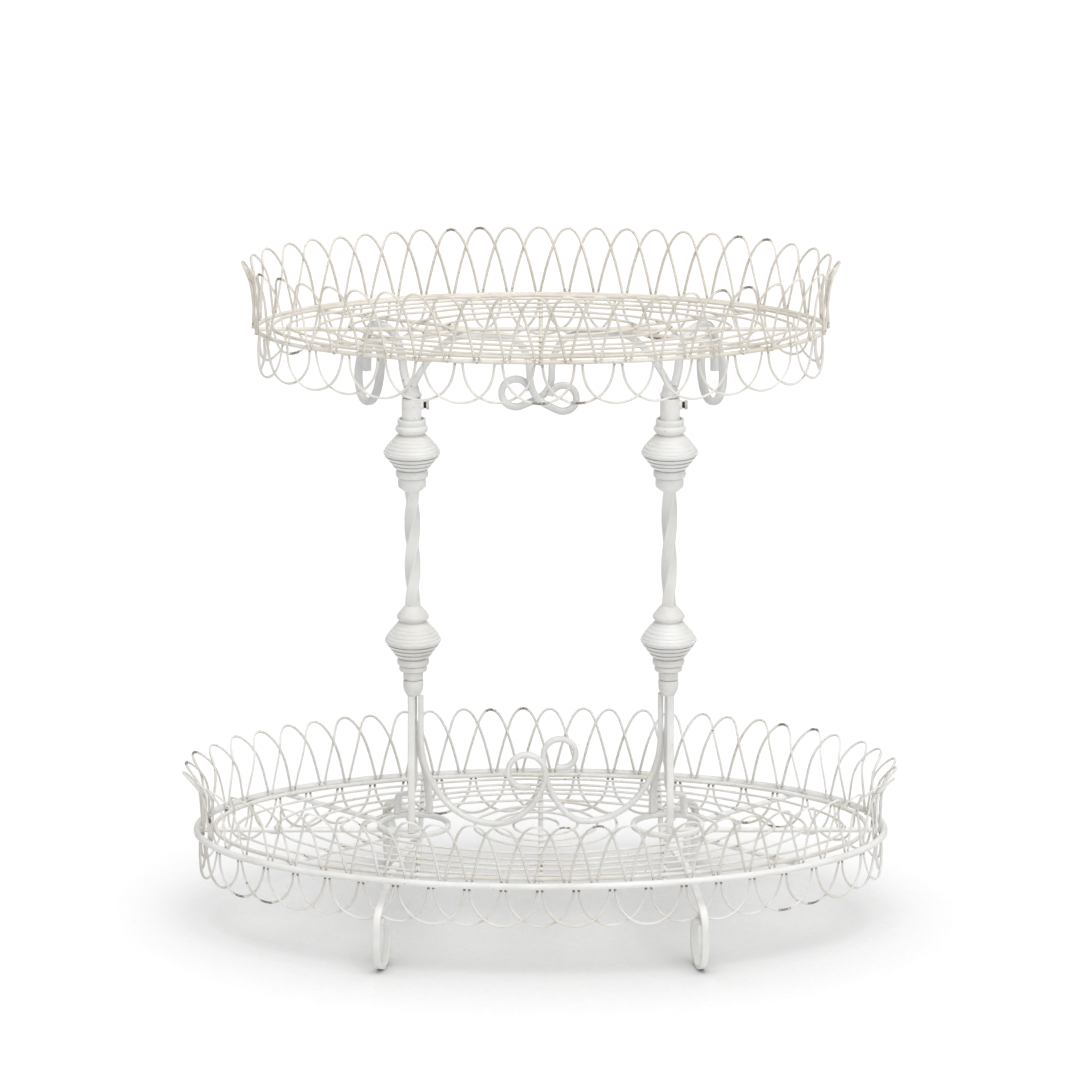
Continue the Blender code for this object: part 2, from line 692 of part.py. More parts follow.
def build_straps(side, label, ring_top, material):
    """The front, rear and outer straps of one column. It returns the height of their tops."""
    foot_height = ring_top + GAP
    heights = (foot_height, foot_height + STRAP_HEIGHT)
    front = Vector((0.0, -STRAP_TOP_RADIUS))
    rear = Vector((STRAP_THICKNESS / 2, STRAP_TOP_RADIUS))
    outer = Vector((0.0, 0.0))
    straps = (("front", front, -90, EVEN_STRAP_SHARES), ("rear", rear, REAR_STRAP_ANGLE, EVEN_STRAP_SHARES),
              ("outer", outer, OUTER_STRAP_ANGLE, OUTER_STRAP_SHARES))
    for kind, top_offset, degrees, shares in straps:
        angle = math.radians(degrees)
        foot_offset = Vector((BASE_RING_RADIUS * math.cos(angle), BASE_RING_RADIUS * math.sin(angle)))
        build_strap("strap_" + kind + "_" + label, side, top_offset, foot_offset, heights, shares, material)
    return foot_height + STRAP_HEIGHT


def build_scroll(tray, side, label, top, material):
    """The C-shaped scroll from a column's collar to the middle of the tray."""
    past, rise, radius = ((LEFT_LOOP_PAST_CENTRE, LEFT_LOOP_HEIGHT, LEFT_LOOP_RADIUS) if side < 0
                          else (RIGHT_LOOP_PAST_CENTRE, RIGHT_LOOP_HEIGHT, RIGHT_LOOP_RADIUS))
    origin = Vector((side * COLUMN_SPACING / 2, side * SCROLL_SIDE_SET, 0.0))
    plane = Plane(origin, Vector((-side, 0.0, 0.0)))
    middle = COLUMN_SPACING / 2
    valley = Vector((middle - SCROLL_VALLEY, tray.floor_top + GAP + SCROLL_THICKNESS / 2))
    centre = Vector((middle + past, tray.floor_top + rise))
    last_radius = radius * (1 - LOOP_TIGHTENING_SHARE)
    loop = spiral_arc(centre, radius, last_radius, 0, 290, LOOP_POINTS)
    stem = Vector((SCROLL_STEM_SET, top))
    knee = Vector((SCROLL_STEM_SET, top - STRAP_HEIGHT / 3))
    fall = bezier(knee, knee.lerp(Vector((knee.x, valley.y)), 1 / 2),
                  Vector((middle - 2 * SCROLL_VALLEY, valley.y)), valley, ARM_POINTS)
    climb = bezier(valley, valley + Vector((SCROLL_VALLEY / 2, 0.0)),
                   loop[0] - Vector((0.0, (loop[0].y - valley.y) / 2)), loop[0], ARM_POINTS)
    points = [stem] + fall + climb[1:] + loop[1:]
    flat_bar("scroll_" + label, plane, points, SCROLL_WIDTH, SCROLL_THICKNESS, material)


def knop_profile(shares, base, height):
    """The outline of a knop from its base up, as (radius, height)."""
    return [(KNOP_RADIUS * radius, base + height * up) for up, radius in shares]


def build_column(side, label, base, white, screw_paint):
    """One column from its collar up to its sleeve. It returns the height of the sleeve's top."""
    centre = Vector((side * COLUMN_SPACING / 2, 0.0, 0.0))
    lower_base = base + COLLAR_HEIGHT
    profile = [(COLLAR_RADIUS * radius, base + COLLAR_HEIGHT * up) for up, radius in COLLAR_SHARES]
    profile += knop_profile(NECK_SHARES + KNOP_SHARES + BEAD_SHARES, lower_base, LOWER_KNOP_HEIGHT)
    bm = bmesh.new()
    turned(bm, profile, centre, TURNED_SIDES)
    add_piece("lower_knop_" + label, bm, white)

    bar_base = lower_base + LOWER_KNOP_HEIGHT + GAP
    rings = []
    for i in range(TWIST_STEPS + 1):
        share = i / TWIST_STEPS
        angle = math.tau * (TWIST_TURNS * share + TWIST_START_SHARE)
        height = bar_base + TWIST_LENGTH * share
        ring = []
        for a, b in round_section(TWIST_BAR * math.sqrt(2), 4, angle):
            ring.append(centre + Vector((a, b, height)))
        rings.append(ring)
    bm = bmesh.new()
    skin(bm, rings, closed=False)
    add_piece("twisted_bar_" + label, bm, white)

    upper_base = bar_base + TWIST_LENGTH + GAP
    knop_top = upper_base + UPPER_KNOP_HEIGHT
    seat = upper_base + UPPER_KNOP_HEIGHT * SLEEVE_SEAT_SHARE
    bore = SLEEVE_RADIUS + GAP
    profile = knop_profile(RING_SHARES + KNOP_SHARES + FLANGE_SHARES, upper_base, UPPER_KNOP_HEIGHT)
    profile += [(bore, knop_top), (bore, seat)]
    bm = bmesh.new()
    turned(bm, profile, centre, TURNED_SIDES)
    add_piece("upper_knop_" + label, bm, white)

    sleeve_base = seat + GAP
    sleeve_top = knop_top + SLEEVE_SHOW
    sleeve = [(SLEEVE_RADIUS, sleeve_base), (SLEEVE_RADIUS, sleeve_top),
              (SLEEVE_BORE_RADIUS, sleeve_top), (SLEEVE_BORE_RADIUS, sleeve_base)]
    bm = bmesh.new()
    turned(bm, sleeve, centre, TURNED_SIDES, hollow=True)
    tube = add_piece("sleeve_" + label, bm, white)
    screw_height = sleeve_top - SCREW_DROP
    boss = add_rod(centre, screw_height, (SLEEVE_RADIUS + SLEEVE_BORE_RADIUS) / 2, BOSS_REACH, BOSS_RADIUS)
    hole = add_rod(centre, screw_height, 0.0, BOSS_REACH + SCREW_RADIUS, SCREW_RADIUS + GAP)
    reshape(tube, boss, "UNION")
    reshape(tube, hole, "DIFFERENCE")

    axis = add_axis("screw_axis_" + label, centre + Vector((0.0, 0.0, screw_height)))
    build_screw("set_screw_" + label, centre, screw_height, screw_paint, axis)
    return sleeve_top


def add_rod(centre, height, start, end, radius):
    """A guide rod that points along +X from a column's axis."""
    bm = bmesh.new()
    place = Vector((centre.x, centre.y, height))
    path = [place + Vector((start, 0.0, 0.0)), place + Vector((end, 0.0, 0.0))]
    sweep(bm, path, [Vector((0.0, 0.0, 1.0))] * 2, round_section(2 * radius, TURNED_SIDES))
    return add_piece("sleeve_guide", bm, bpy.data.materials[0])


def build_screw(name, centre, height, material, axis):
    """A hexagon-headed set screw with its tip on the post."""
    flat = math.cos(math.pi / TURNED_SIDES)
    tip = POST_RADIUS * flat + GAP
    under_head = BOSS_REACH + SCREW_STAND_OFF
    stations = [(tip, SCREW_TIP_RADIUS, False), (tip + SCREW_RADIUS / 2, SCREW_RADIUS, False),
                (under_head, SCREW_RADIUS, False), (under_head, SCREW_HEAD_RADIUS, True),
                (under_head + SCREW_HEAD_HEIGHT, SCREW_HEAD_RADIUS, True)]
    rings = []
    for along, radius, hexagon in stations:
        ring = []
        for i in range(TURNED_SIDES):
            angle = math.tau * i / TURNED_SIDES
            reach = radius * (math.cos(math.pi / 6) if hexagon and i % 2 else 1)
            ring.append(Vector((centre.x + along, reach * math.cos(angle), height + reach * math.sin(angle))))
        rings.append(ring)
    bm = bmesh.new()
    skin(bm, rings, closed=False)
    add_piece(name, bm, material, axis, smooth_angle=30)


POST_RADIUS = SLEEVE_BORE_RADIUS - GAP


def build_post(side, label, sleeve_top, material, parent):
    """A post whose head rests on its sleeve, welded to its outer arm.

    The arm rises, runs outwards under the floor and hangs in a loop. The function returns the
    height of the head's top.
    """
    centre = Vector((side * COLUMN_SPACING / 2, 0.0, 0.0))
    head = sleeve_top + GAP
    top = head + POST_HEAD_HEIGHT
    profile = [(POST_RADIUS - POST_CHAMFER, head - POST_LENGTH),
               (POST_RADIUS, head - POST_LENGTH + POST_CHAMFER), (POST_RADIUS, head),
               (POST_HEAD_RADIUS, head), (POST_HEAD_RADIUS, top - POST_CHAMFER),
               (POST_HEAD_RADIUS - POST_CHAMFER, top)]
    bm = bmesh.new()
    turned(bm, profile, centre, TURNED_SIDES)
    post = add_piece("post_" + label, bm, material, parent)

    turn = math.radians(OUTER_ARM_TURN)
    origin = centre + Vector((side * OUTER_ARM_SIDE_SET, 0.0, 0.0))
    plane = Plane(origin, Vector((side * math.cos(turn), math.sin(turn), 0.0)))
    run = top + GAP + ARM_RISE
    points = [Vector((0.0, top - POST_CHAMFER))]
    points += [Vector((OUTER_ARM_REACH * out, run + OUTER_ARM_REACH * up)) for out, up in OUTER_ARM_SHARES]
    arm = flat_bar("outer_arm_guide", plane, smoothed(points, 2), ARM_WIDTH, ARM_THICKNESS, material, parent)
    reshape(post, arm, "UNION")
    return top


def build_inner_arm(side, label, base, material, parent):
    """The arm that runs inwards under the floor and ends in a loop past the middle."""
    past, drop, radius = ((LEFT_ARM_LOOP_PAST, LEFT_ARM_LOOP_DROP, LEFT_ARM_LOOP_RADIUS) if side < 0
                          else (RIGHT_ARM_LOOP_PAST, RIGHT_ARM_LOOP_DROP, RIGHT_ARM_LOOP_RADIUS))
    plane = Plane(Vector((side * COLUMN_SPACING / 2, side * ARM_SIDE_SET, 0.0)), Vector((-side, 0.0, 0.0)))
    middle = COLUMN_SPACING / 2
    run = base + ARM_RISE
    centre = Vector((middle + past, run - drop))
    loop = spiral_arc(centre, radius, radius, 247, 495, LOOP_POINTS)
    heading = Vector((-math.sin(math.radians(247)), math.cos(math.radians(247))))
    foot = Vector((ARM_ROOT_SET, base))
    root = foot + Vector((0.0, ARM_THICKNESS))
    shoulder = Vector((INNER_ARM_SHOULDER, run))
    rise = [foot] + bezier(root, root + Vector((INNER_ARM_SHOULDER / 4, ARM_RISE / 2)),
                           shoulder - Vector((INNER_ARM_SHOULDER / 3, 0.0)), shoulder, ARM_POINTS)
    bend = Vector((middle - INNER_ARM_BEND, run))
    hang = Vector((middle - INNER_ARM_HANG, run - INNER_ARM_HANG_DROP))
    turn = (hang.x - bend.x) * 0.7
    fall = bezier(bend, bend + Vector((turn, 0.0)), hang + Vector((0.0, turn)), hang, ARM_POINTS)
    cross = bezier(hang, hang - Vector((0.0, INNER_ARM_HANG_DROP * 0.6)), loop[0] - heading * (turn * 0.9),
                   loop[0], ARM_POINTS)
    points = rise + fall + cross[1:] + loop[1:]
    flat_bar("inner_arm_" + label, plane, points, ARM_WIDTH, ARM_THICKNESS, material, parent)


def build_upper_tray(sleeve_top, material):
    """The upper tray with its posts and arms, which lift out of the sleeves together."""
    axis = add_axis("lift_axis", Vector((0.0, 0.0, sleeve_top)))
    base = sleeve_top
    for side, label in ((-1, "left"), (1, "right")):
        base = build_post(side, label, sleeve_top, material, axis)
    arm_base = base + GAP
    for side, label in ((-1, "left"), (1, "right")):
        build_inner_arm(side, label, arm_base, material, axis)
    height = arm_base + ARM_RISE + ARM_THICKNESS / 2 + GAP + UPPER_BAR
    rim = Rim(UPPER_HALF_LENGTH, UPPER_HALF_WIDTH, height, UPPER_ARCH_COUNT)
    tray = Tray("upper", rim, UPPER_ROD, UPPER_BAR, UPPER_RING_WIRE, UPPER_RING_INSET, material, axis)
    tray.add_rim_rod()
    foot_outward = flat_reach(UPPER_ROD, ROD_SIDES) + GAP + flat_reach(WIRE, WIRE_SIDES)
    tray.add_walls(UPPER_ARCH_COUNT, UPPER_ARCH_START, UPPER_ARCH_HEIGHT, UPPER_ARCH_FLARE, foot_outward, 0.0)
    tray.add_edge(UPPER_SCALLOP_COUNT, UPPER_SCALLOP_DROP)
    tray.add_floor((UPPER_HALF_LENGTH - UPPER_OVAL_LENGTH_INSET, UPPER_HALF_WIDTH - UPPER_OVAL_WIDTH_INSET),
                   (UPPER_OVAL_LEAST_LENGTH, UPPER_OVAL_LEAST_WIDTH), UPPER_OVAL_SHARES)

    count = UPPER_ARCH_COUNT
    middle = Vector((0.0, 0.0, tray.bar_height))
    left = bar_end(tray, middle, count, 0, -1, 1, UPPER_BAR)
    right = bar_end(tray, middle, count, 0, 1, 1, UPPER_BAR)
    frame = round_bar("upper_floor_frame", left, right, UPPER_BAR, material, axis)
    front = bar_end(tray, middle, count, count / 4, 1, -1, UPPER_THIN_BAR)
    rear = bar_end(tray, middle, count, count / 4, 1, 1, UPPER_THIN_BAR)
    runs = [(front, rear)]
    for side in (-1, 1):
        start = Vector((side * UPPER_HALF_LENGTH * UPPER_DIAGONAL_START_SHARE, 0.0, tray.bar_height))
        for depth in (-1, 1):
            end = bar_end(tray, start, count, UPPER_DIAGONAL_ARCH, side, depth, UPPER_THIN_BAR)
            runs.append((start, end))
    for start, end in runs:
        bar = round_bar("upper_bar_guide", start, end, UPPER_THIN_BAR, material, axis)
        reshape(frame, bar, "UNION")
    ring = tray.add_inner_ring("upper_ring_guide", -WELD)
    reshape(frame, ring, "UNION")


def main():
    """Builds the whole stand."""
    start_empty()
    white = paint("white_paint", WHITE, 0.45)
    cream = paint("cream_paint", CREAM, 0.50)
    screw_paint = paint("screw_paint", SCREW_GREY, 0.50)
    tray = build_lower_tray(white)
    sleeve_top = tray.floor_top
    for side, label in ((-1, "left"), (1, "right")):
        ring_top = build_base_ring(tray, side, label, white)
        for depth, depth_label in ((-1, "front"), (1, "rear")):
            build_foot(tray, side, depth, label + "_" + depth_label, white)
        strap_top = build_straps(side, label, ring_top, white)
        build_scroll(tray, side, label, strap_top, white)
        sleeve_top = build_column(side, label, strap_top + GAP, white, screw_paint)
    build_upper_tray(sleeve_top, cream)


main()
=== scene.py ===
"""The looks of a two-tier oval wirework plant stand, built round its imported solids.

Painted steel wire and bar: two oval trays with looped walls and scalloped edges, two turned and
twisted columns between them, and four scrolled feet. Metres, +Z up, -Y towards the front.
"""

from math import atan2, copysign, cos, hypot, pi, radians, sin, sqrt, tau

import bmesh
import bpy
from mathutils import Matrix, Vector


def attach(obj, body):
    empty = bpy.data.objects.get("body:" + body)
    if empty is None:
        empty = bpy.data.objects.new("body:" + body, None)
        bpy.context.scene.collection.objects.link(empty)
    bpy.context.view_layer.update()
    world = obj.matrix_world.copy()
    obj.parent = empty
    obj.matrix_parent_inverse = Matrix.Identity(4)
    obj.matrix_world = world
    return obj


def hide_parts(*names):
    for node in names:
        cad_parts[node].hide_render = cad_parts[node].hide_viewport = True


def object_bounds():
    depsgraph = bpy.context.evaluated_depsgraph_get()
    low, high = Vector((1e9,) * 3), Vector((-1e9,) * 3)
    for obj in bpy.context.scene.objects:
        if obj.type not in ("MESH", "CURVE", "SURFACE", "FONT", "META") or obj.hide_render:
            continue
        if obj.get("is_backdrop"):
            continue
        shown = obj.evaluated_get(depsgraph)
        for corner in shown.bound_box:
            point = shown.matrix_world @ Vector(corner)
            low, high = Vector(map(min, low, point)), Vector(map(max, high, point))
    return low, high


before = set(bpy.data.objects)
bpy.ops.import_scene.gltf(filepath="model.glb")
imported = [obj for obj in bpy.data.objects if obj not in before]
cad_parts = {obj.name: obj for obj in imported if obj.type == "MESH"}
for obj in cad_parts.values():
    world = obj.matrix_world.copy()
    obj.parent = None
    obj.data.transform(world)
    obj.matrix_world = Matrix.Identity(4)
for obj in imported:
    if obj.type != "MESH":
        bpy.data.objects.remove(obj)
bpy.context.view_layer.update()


# ---- Lower rim rod ----
# The 8 mm steel rod that both the wall and the edge hang on. It is bent into an oval and butt
# welded, then brushed with thick white enamel that has yellowed, chipped and let rust through.

LOWER_HALF_LENGTH = 0.400
LOWER_HALF_WIDTH = 0.220
LOWER_HEIGHT = 0.109
LOWER_ROD = 0.008


class Tap:
    """One output of a node. Python's sums on it add Math nodes."""

    def __init__(self, tree, node, output=0):
        self.tree, self.node, self.socket = tree, node, node.outputs[output]

    def __getitem__(self, output):
        return Tap(self.tree, self.node, output)

    def add(self, kind, sockets=None, output=0, **settings):
        """Adds a node: its kind, what goes into its sockets, the output to use and its settings."""
        node = self.tree.nodes.new(kind)
        for name, value in settings.items():
            setattr(node, name, value)
        for key, value in (sockets or {}).items():
            if isinstance(value, Tap):
                self.tree.links.new(value.socket, node.inputs[key])
            else:
                node.inputs[key].default_value = value
        return Tap(self.tree, node, output)

    def geo(self, kind, *sockets, **settings):
        return self.add("GeometryNode" + kind, *sockets, **settings)

    def math(self, operation, first, second=0.0):
        return self.add("ShaderNodeMath", {0: first, 1: second}, operation=operation)

    def __add__(self, other):
        return self.math("ADD", self, other)

    def __sub__(self, other):
        return self.math("SUBTRACT", self, other)

    def __rsub__(self, other):
        return self.math("SUBTRACT", other, self)

    def __mul__(self, other):
        return self.math("MULTIPLY", self, other)

    def __truediv__(self, other):
        return self.math("DIVIDE", self, other)

    __radd__ = __add__
    __rmul__ = __mul__

    def vector(self, operation, first, second=(0.0, 0.0, 0.0), factor=1.0):
        sockets = {0: first, 3: factor} if operation == "SCALE" else {0: first, 1: second}
        return self.add("ShaderNodeVectorMath", sockets, operation=operation)

    def step(self, low, high):
        """Rises smoothly from 0 to 1 as the value goes from low to high."""
        return self.add("ShaderNodeMapRange", {"Value": self, "From Min": low, "From Max": high},
                        interpolation_type="SMOOTHSTEP")

    def blend(self, first, second):
        """A colour between two, this value of the way."""
        return self.add("ShaderNodeMix", {0: self, 6: first, 7: second}, 2, data_type="RGBA")


def enamel(name, colour, aged, chips, rust, gloss):
    """Brushed enamel on steel: aged in patches, chipped to dark metal, and darkened at the welds, partly as
    burnt paint and partly as painted shade.
    """
    material = bpy.data.materials.new(name)
    material.use_nodes = True
    tree = material.node_tree
    shader = tree.nodes["Principled BSDF"]
    place = Tap(tree, tree.nodes.new("ShaderNodeTexCoord"), "Object")

    def grain(scale, detail, roughness):
        return place.add("ShaderNodeTexNoise", {
            "Vector": place, "Scale": scale, "Detail": detail, "Roughness": roughness})

    patches = grain(14.0, 4.0, 0.6).step(0.35, 0.68)
    clusters = grain(23.0, 2.0, 0.5).step(0.50, 0.70)
    flecks = grain(310.0, 3.0, 0.6)
    bare = flecks.step(0.72 - chips, 0.745 - chips) * clusters
    weld = place.add("ShaderNodeAttribute", output="Fac", attribute_name="weld")
    # Darkening at the welds: partly paint burnt by the weld, partly painted shade in the gaps where wires meet
    # the rim.
    burn_and_shade = (grain(430.0, 3.0, 0.6) + weld * 0.40).step(0.74, 0.80) * weld
    stain = grain(95.0, 4.0, 0.65).step(0.66 - rust, 0.80 - rust) * (0.3 + clusters * 0.7)
    brushed = grain(620.0, 2.0, 0.5)
    paint = patches.blend((*colour, 1.0), (*aged, 1.0))
    paint = (stain * 0.75).blend(paint, (0.34, 0.20, 0.11, 1.0))
    paint = burn_and_shade.blend(paint, (0.150, 0.120, 0.095, 1.0))
    paint = bare.blend(paint, (0.055, 0.048, 0.045, 1.0))
    roughness = gloss + 0.10 * patches + 0.20 * stain + 0.12 * bare
    height = brushed * 0.30 + grain(90.0, 2.0, 0.5) * 0.5 - bare * 0.8
    bump = place.add("ShaderNodeBump", {"Strength": 0.35, "Distance": 0.0004, "Height": height})
    tree.links.new(paint.socket, shader.inputs["Base Color"])
    tree.links.new(roughness.socket, shader.inputs["Roughness"])
    tree.links.new(bump.socket, shader.inputs["Normal"])
    shader.inputs["Specular IOR Level"].default_value = 0.4
    return material


WHITE_ENAMEL = enamel("white_enamel", (0.86, 0.86, 0.85), (0.77, 0.76, 0.72), 0.040, 0.01, 0.42)


def new_tree(name, sizes):
    """An empty node tree with named inputs. A size of None is a paint."""
    tree = bpy.data.node_groups.new(name, "GeometryNodeTree")
    kinds = {int: "NodeSocketInt", float: "NodeSocketFloat", tuple: "NodeSocketVector",
             type(None): "NodeSocketMaterial"}
    tree.interface.new_socket("Geometry", in_out="INPUT", socket_type="NodeSocketGeometry")
    tree.interface.new_socket("Geometry", in_out="OUTPUT", socket_type="NodeSocketGeometry")
    for label, value in sizes.items():
        socket = tree.interface.new_socket(label, in_out="INPUT", socket_type=kinds[type(value)])
        if value is not None:
            socket.default_value = value
    return Tap(tree, tree.nodes.new("NodeGroupInput"))


def end_tree(shape, paint):
    """Ends a tree with a plain, smooth, painted mesh and returns the tree."""
    shape = shape.geo("SetShadeSmooth", {0: shape})
    shape = shape.geo("RealizeInstances", {0: shape})
    shape = shape.geo("SetMaterial", {0: shape, "Material": paint})
    out = shape.tree.nodes.new("NodeGroupOutput")
    shape.tree.links.new(shape.socket, out.inputs[0])
    return shape.tree


def swept(given, line, caps=True):
    """Sweeps a rolled section, its corners eased, along a curve in a tree."""
    section = given.geo("CurvePrimitiveQuadrilateral", {
        "Width": given["Width"], "Height": given["Thickness"]})
    section = section.geo("FilletCurve", {
        0: section, "Count": given["Corner Steps"], "Radius": given["Corner"], "Limit Radius": True},
        mode="POLY")
    return given.geo("CurveToMesh", {0: line, "Profile Curve": section, "Fill Caps": caps})


def bar_tree():
    """A bar bent along a guide line: the guide's points are joined smoothly and swept."""
    given = new_tree("bar_bent_along_a_line", {
        "Width": 0.006, "Thickness": 0.006, "Corner": 0.0029, "Corner Steps": 3,
        "Across": (0.0, 0.0, 1.0), "Unevenness": 0.0002, "Seed": 0.0, "Paint": None})
    line = given.geo("MeshToCurve", {0: given})
    place = given.geo("InputPosition")
    shake = given.add("ShaderNodeTexNoise", {
        "Vector": place, "W": given["Seed"], "Scale": 24.0, "Detail": 1.0}, "Color", noise_dimensions="4D")
    shake = given.vector("SUBTRACT", shake, (0.5, 0.5, 0.5))
    shake = given.vector("SCALE", shake, factor=given["Unevenness"] * 4.0)
    line = given.geo("SetPosition", {0: line, "Offset": shake})
    line = given.geo("SetCurveNormal", {0: line, "Normal": given["Across"]}, mode="FREE")
    return end_tree(swept(given, line), given["Paint"])


BAR_TREE = bar_tree()


def guide(points, closed=False, joined=True):
    """A guide for a tree, as a mesh of points that are joined into a line or left loose."""
    mesh = bpy.data.meshes.new("guide")
    last = len(points) - (not closed) if joined else 0
    mesh.from_pydata(points, [(i, (i + 1) % len(points)) for i in range(last)], [])
    return mesh


# A home is the body that a piece rides and the slot of its paint.
STAND = ("stand", "white_paint")


def place_piece(item, home, nodes):
    """Attaches a finished piece to its home's body and hides the given solids, or its namesake, in its place.
    The home's paint slot is not used.
    """
    body, slot = home
    nodes = nodes or [item.name.removeprefix("painted_")]
    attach(item, body)
    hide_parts(*nodes)
    return item


def new_object(name, data):
    item = bpy.data.objects.new(name, data)
    bpy.context.collection.objects.link(item)
    return item


def grow(name, tree, start, sizes, home, nodes=None):
    """Shapes a guide with a tree, keeps the result as a plain mesh and places it."""
    item = new_object("painted_" + name, start)
    change = item.modifiers.new("shape", "NODES")
    change.node_group = tree
    for entry in tree.interface.items_tree:
        if entry.in_out == "INPUT" and entry.name in sizes:
            change[entry.identifier] = sizes[entry.name]
    drawn = item.evaluated_get(bpy.context.evaluated_depsgraph_get())
    mesh = bpy.data.meshes.new_from_object(drawn)
    item.modifiers.clear()
    item.data = mesh
    mesh.name = item.name
    bm = bmesh.new()
    bm.from_mesh(mesh)
    if bm.calc_volume(signed=True) < 0:
        bmesh.ops.reverse_faces(bm, faces=bm.faces)
    bm.to_mesh(mesh)
    bm.free()
    return place_piece(item, home, nodes)


def rod(name, points, diameter, paint, seed, unevenness, home, nodes=None, closed=False, steps=3, corner=0.49):
    """A round bar or wire bent along a line. Its corners are a share of its diameter."""
    sizes = {"Width": diameter, "Thickness": diameter, "Corner": diameter * corner, "Corner Steps": steps,
             "Unevenness": unevenness, "Seed": seed, "Paint": paint}
    return grow(name, BAR_TREE, guide(points, closed), sizes, home, nodes)


class Oval:
    """A rim's centreline, with places found by the share of the way round from the +X end."""

    def __init__(self, half_length, half_width, steps=720):
        self.half_length, self.half_width = half_length, half_width
        self.marks = [0.0]
        for i in range(steps):
            near, far = tau * i / steps, tau * (i + 1) / steps
            self.marks.append(self.marks[-1] + hypot(
                half_length * (cos(far) - cos(near)), half_width * (sin(far) - sin(near))))

    def at_angle(self, angle, outward, height):
        """A place at an angle, moved outwards, square to the rim."""
        across, along = cos(angle), sin(angle)
        normal = Vector((across / self.half_length, along / self.half_width, 0.0)).normalized()
        return Vector((self.half_length * across, self.half_width * along, height)) + normal * outward

    def at_share(self, share, outward, height):
        way = share % 1.0 * self.marks[-1]
        i = max(k for k, mark in enumerate(self.marks[:-1]) if mark <= way)
        t = (way - self.marks[i]) / (self.marks[i + 1] - self.marks[i])
        return self.at_angle(tau * (i + t) / (len(self.marks) - 1), outward, height)

    def ring(self, outward, height, count=160):
        return [self.at_angle(tau * i / count, outward, height) for i in range(count)]


LOWER_OVAL = Oval(LOWER_HALF_LENGTH, LOWER_HALF_WIDTH)
rod("lower_rim_rod", LOWER_OVAL.ring(0.0, LOWER_HEIGHT), LOWER_ROD, WHITE_ENAMEL, 1.0, 0.0004, STAND,
    closed=True)


# ---- Lower inner ring ----
# A ring of 5 mm rod that lies on the floor bars just inside the rim and keeps the wall's feet
# in. Its enamel is more stained than the rod's.

LOWER_RING_INSET = 0.021
LOWER_RING_WIRE = 0.005
STAINED_ENAMEL = enamel("stained_enamel", (0.85, 0.84, 0.82), (0.76, 0.72, 0.65), 0.060, 0.07, 0.45)
rod("lower_inner_ring", LOWER_OVAL.ring(-LOWER_RING_INSET, LOWER_HEIGHT + LOWER_RING_WIRE / 2),
    LOWER_RING_WIRE, STAINED_ENAMEL, 2.0, 0.0005, STAND, closed=True)


# ---- Bars under the lower floor ----
# Straight 6 mm rods from rim to rim: one across the middle, one across near each column, one
# along the axis at each end and a diagonal from each column to each corner, all welded.

SIDES = ((-1, "left"), (1, "right"))
DEPTHS = ((-1, "front"), (1, "rear"))
LOWER_BAR = 0.006
LOWER_ARCHES = 56
COLUMN_X = 0.1475
CROSS_BAR_ARCH = 10
DIAGONAL_BAR_ARCH = 5
BASE_RING_RADIUS = 0.040
BASE_RING_BAR = 0.006
lower_bar_height = LOWER_HEIGHT - LOWER_BAR / 2
rod_reach = LOWER_ROD / 2


def column(side, height=0.0):
    """A place on a column's axis."""
    return Vector((side * COLUMN_X, 0.0, height))


def straight(start, end, count=10):
    """Points evenly along a straight line, with both ends."""
    return [start.lerp(end, i / (count - 1)) for i in range(count)]


def mirrored(spot, side, depth):
    """A place moved to its mirror image on a side and at a depth."""
    return Vector((spot.x * side, spot.y * depth, spot.z))


corner_spot, cross_spot, middle_spot = [LOWER_OVAL.at_share(arch / LOWER_ARCHES, -rod_reach, lower_bar_height)
                                        for arch in (DIAGONAL_BAR_ARCH, CROSS_BAR_ARCH, LOWER_ARCHES / 4)]
lower_bars = {"lower_centre_bar": (mirrored(middle_spot, 1, -1), middle_spot)}
for side, label in SIDES:
    lower_bars["lower_cross_bar_" + label] = (mirrored(cross_spot, side, -1), mirrored(cross_spot, side, 1))
    lower_bars["lower_axis_bar_" + label] = (
        Vector((side * cross_spot.x, 0.0, lower_bar_height)),
        Vector((side * (LOWER_HALF_LENGTH - rod_reach), 0.0, lower_bar_height)))
    for depth, depth_label in DEPTHS:
        middle = column(side, lower_bar_height)
        end = mirrored(corner_spot, side, depth)
        start = middle + (end - middle).normalized() * (BASE_RING_RADIUS - BASE_RING_BAR / 2)
        lower_bars[f"lower_diagonal_bar_{label}_{depth_label}"] = (start, end)
for seed, (node, (start, end)) in enumerate(lower_bars.items()):
    rod(node, straight(start, end), LOWER_BAR, WHITE_ENAMEL, 10.0 + seed, 0.0003, STAND)


# ---- Lower floor wires ----
# Five nested ovals of 3 mm wire, each nipped to a blunt point at its ends, and a round spiral
# of the same wire in the middle. They lie on the bars and are tacked at each crossing.

WIRE_ENAMEL = enamel("wire_enamel", (0.83, 0.82, 0.79), (0.73, 0.70, 0.64), 0.055, 0.03, 0.42)
WIRE = 0.003
LOWER_OVAL_SHARES = ((1.0, 1.0), (0.696, 0.735), (0.453, 0.518), (0.182, 0.313), (0.0, 0.0))
LOWER_LARGEST = (0.353, 0.185)
LOWER_SMALLEST = (0.205, 0.102)
OVAL_EXPONENT = 1.8
# The first and last radius.
SPIRAL_RADII = (0.020, 0.0945)
SPIRAL_TURNS = 3.25
SPIRAL_SET_BACK = 0.005
SPIRAL_POINTS = 132
lower_wire_height = LOWER_HEIGHT + WIRE / 2


def floor_oval(half_length, half_width, height, count=96):
    """An oval that comes to a blunt point at both ends."""
    points = []
    for i in range(count):
        angle = tau * i / count
        along, across = [copysign(abs(share) ** (2 / OVAL_EXPONENT), share)
                         for share in (cos(angle), sin(angle))]
        points.append(Vector((half_length * along, half_width * across, height)))
    return points


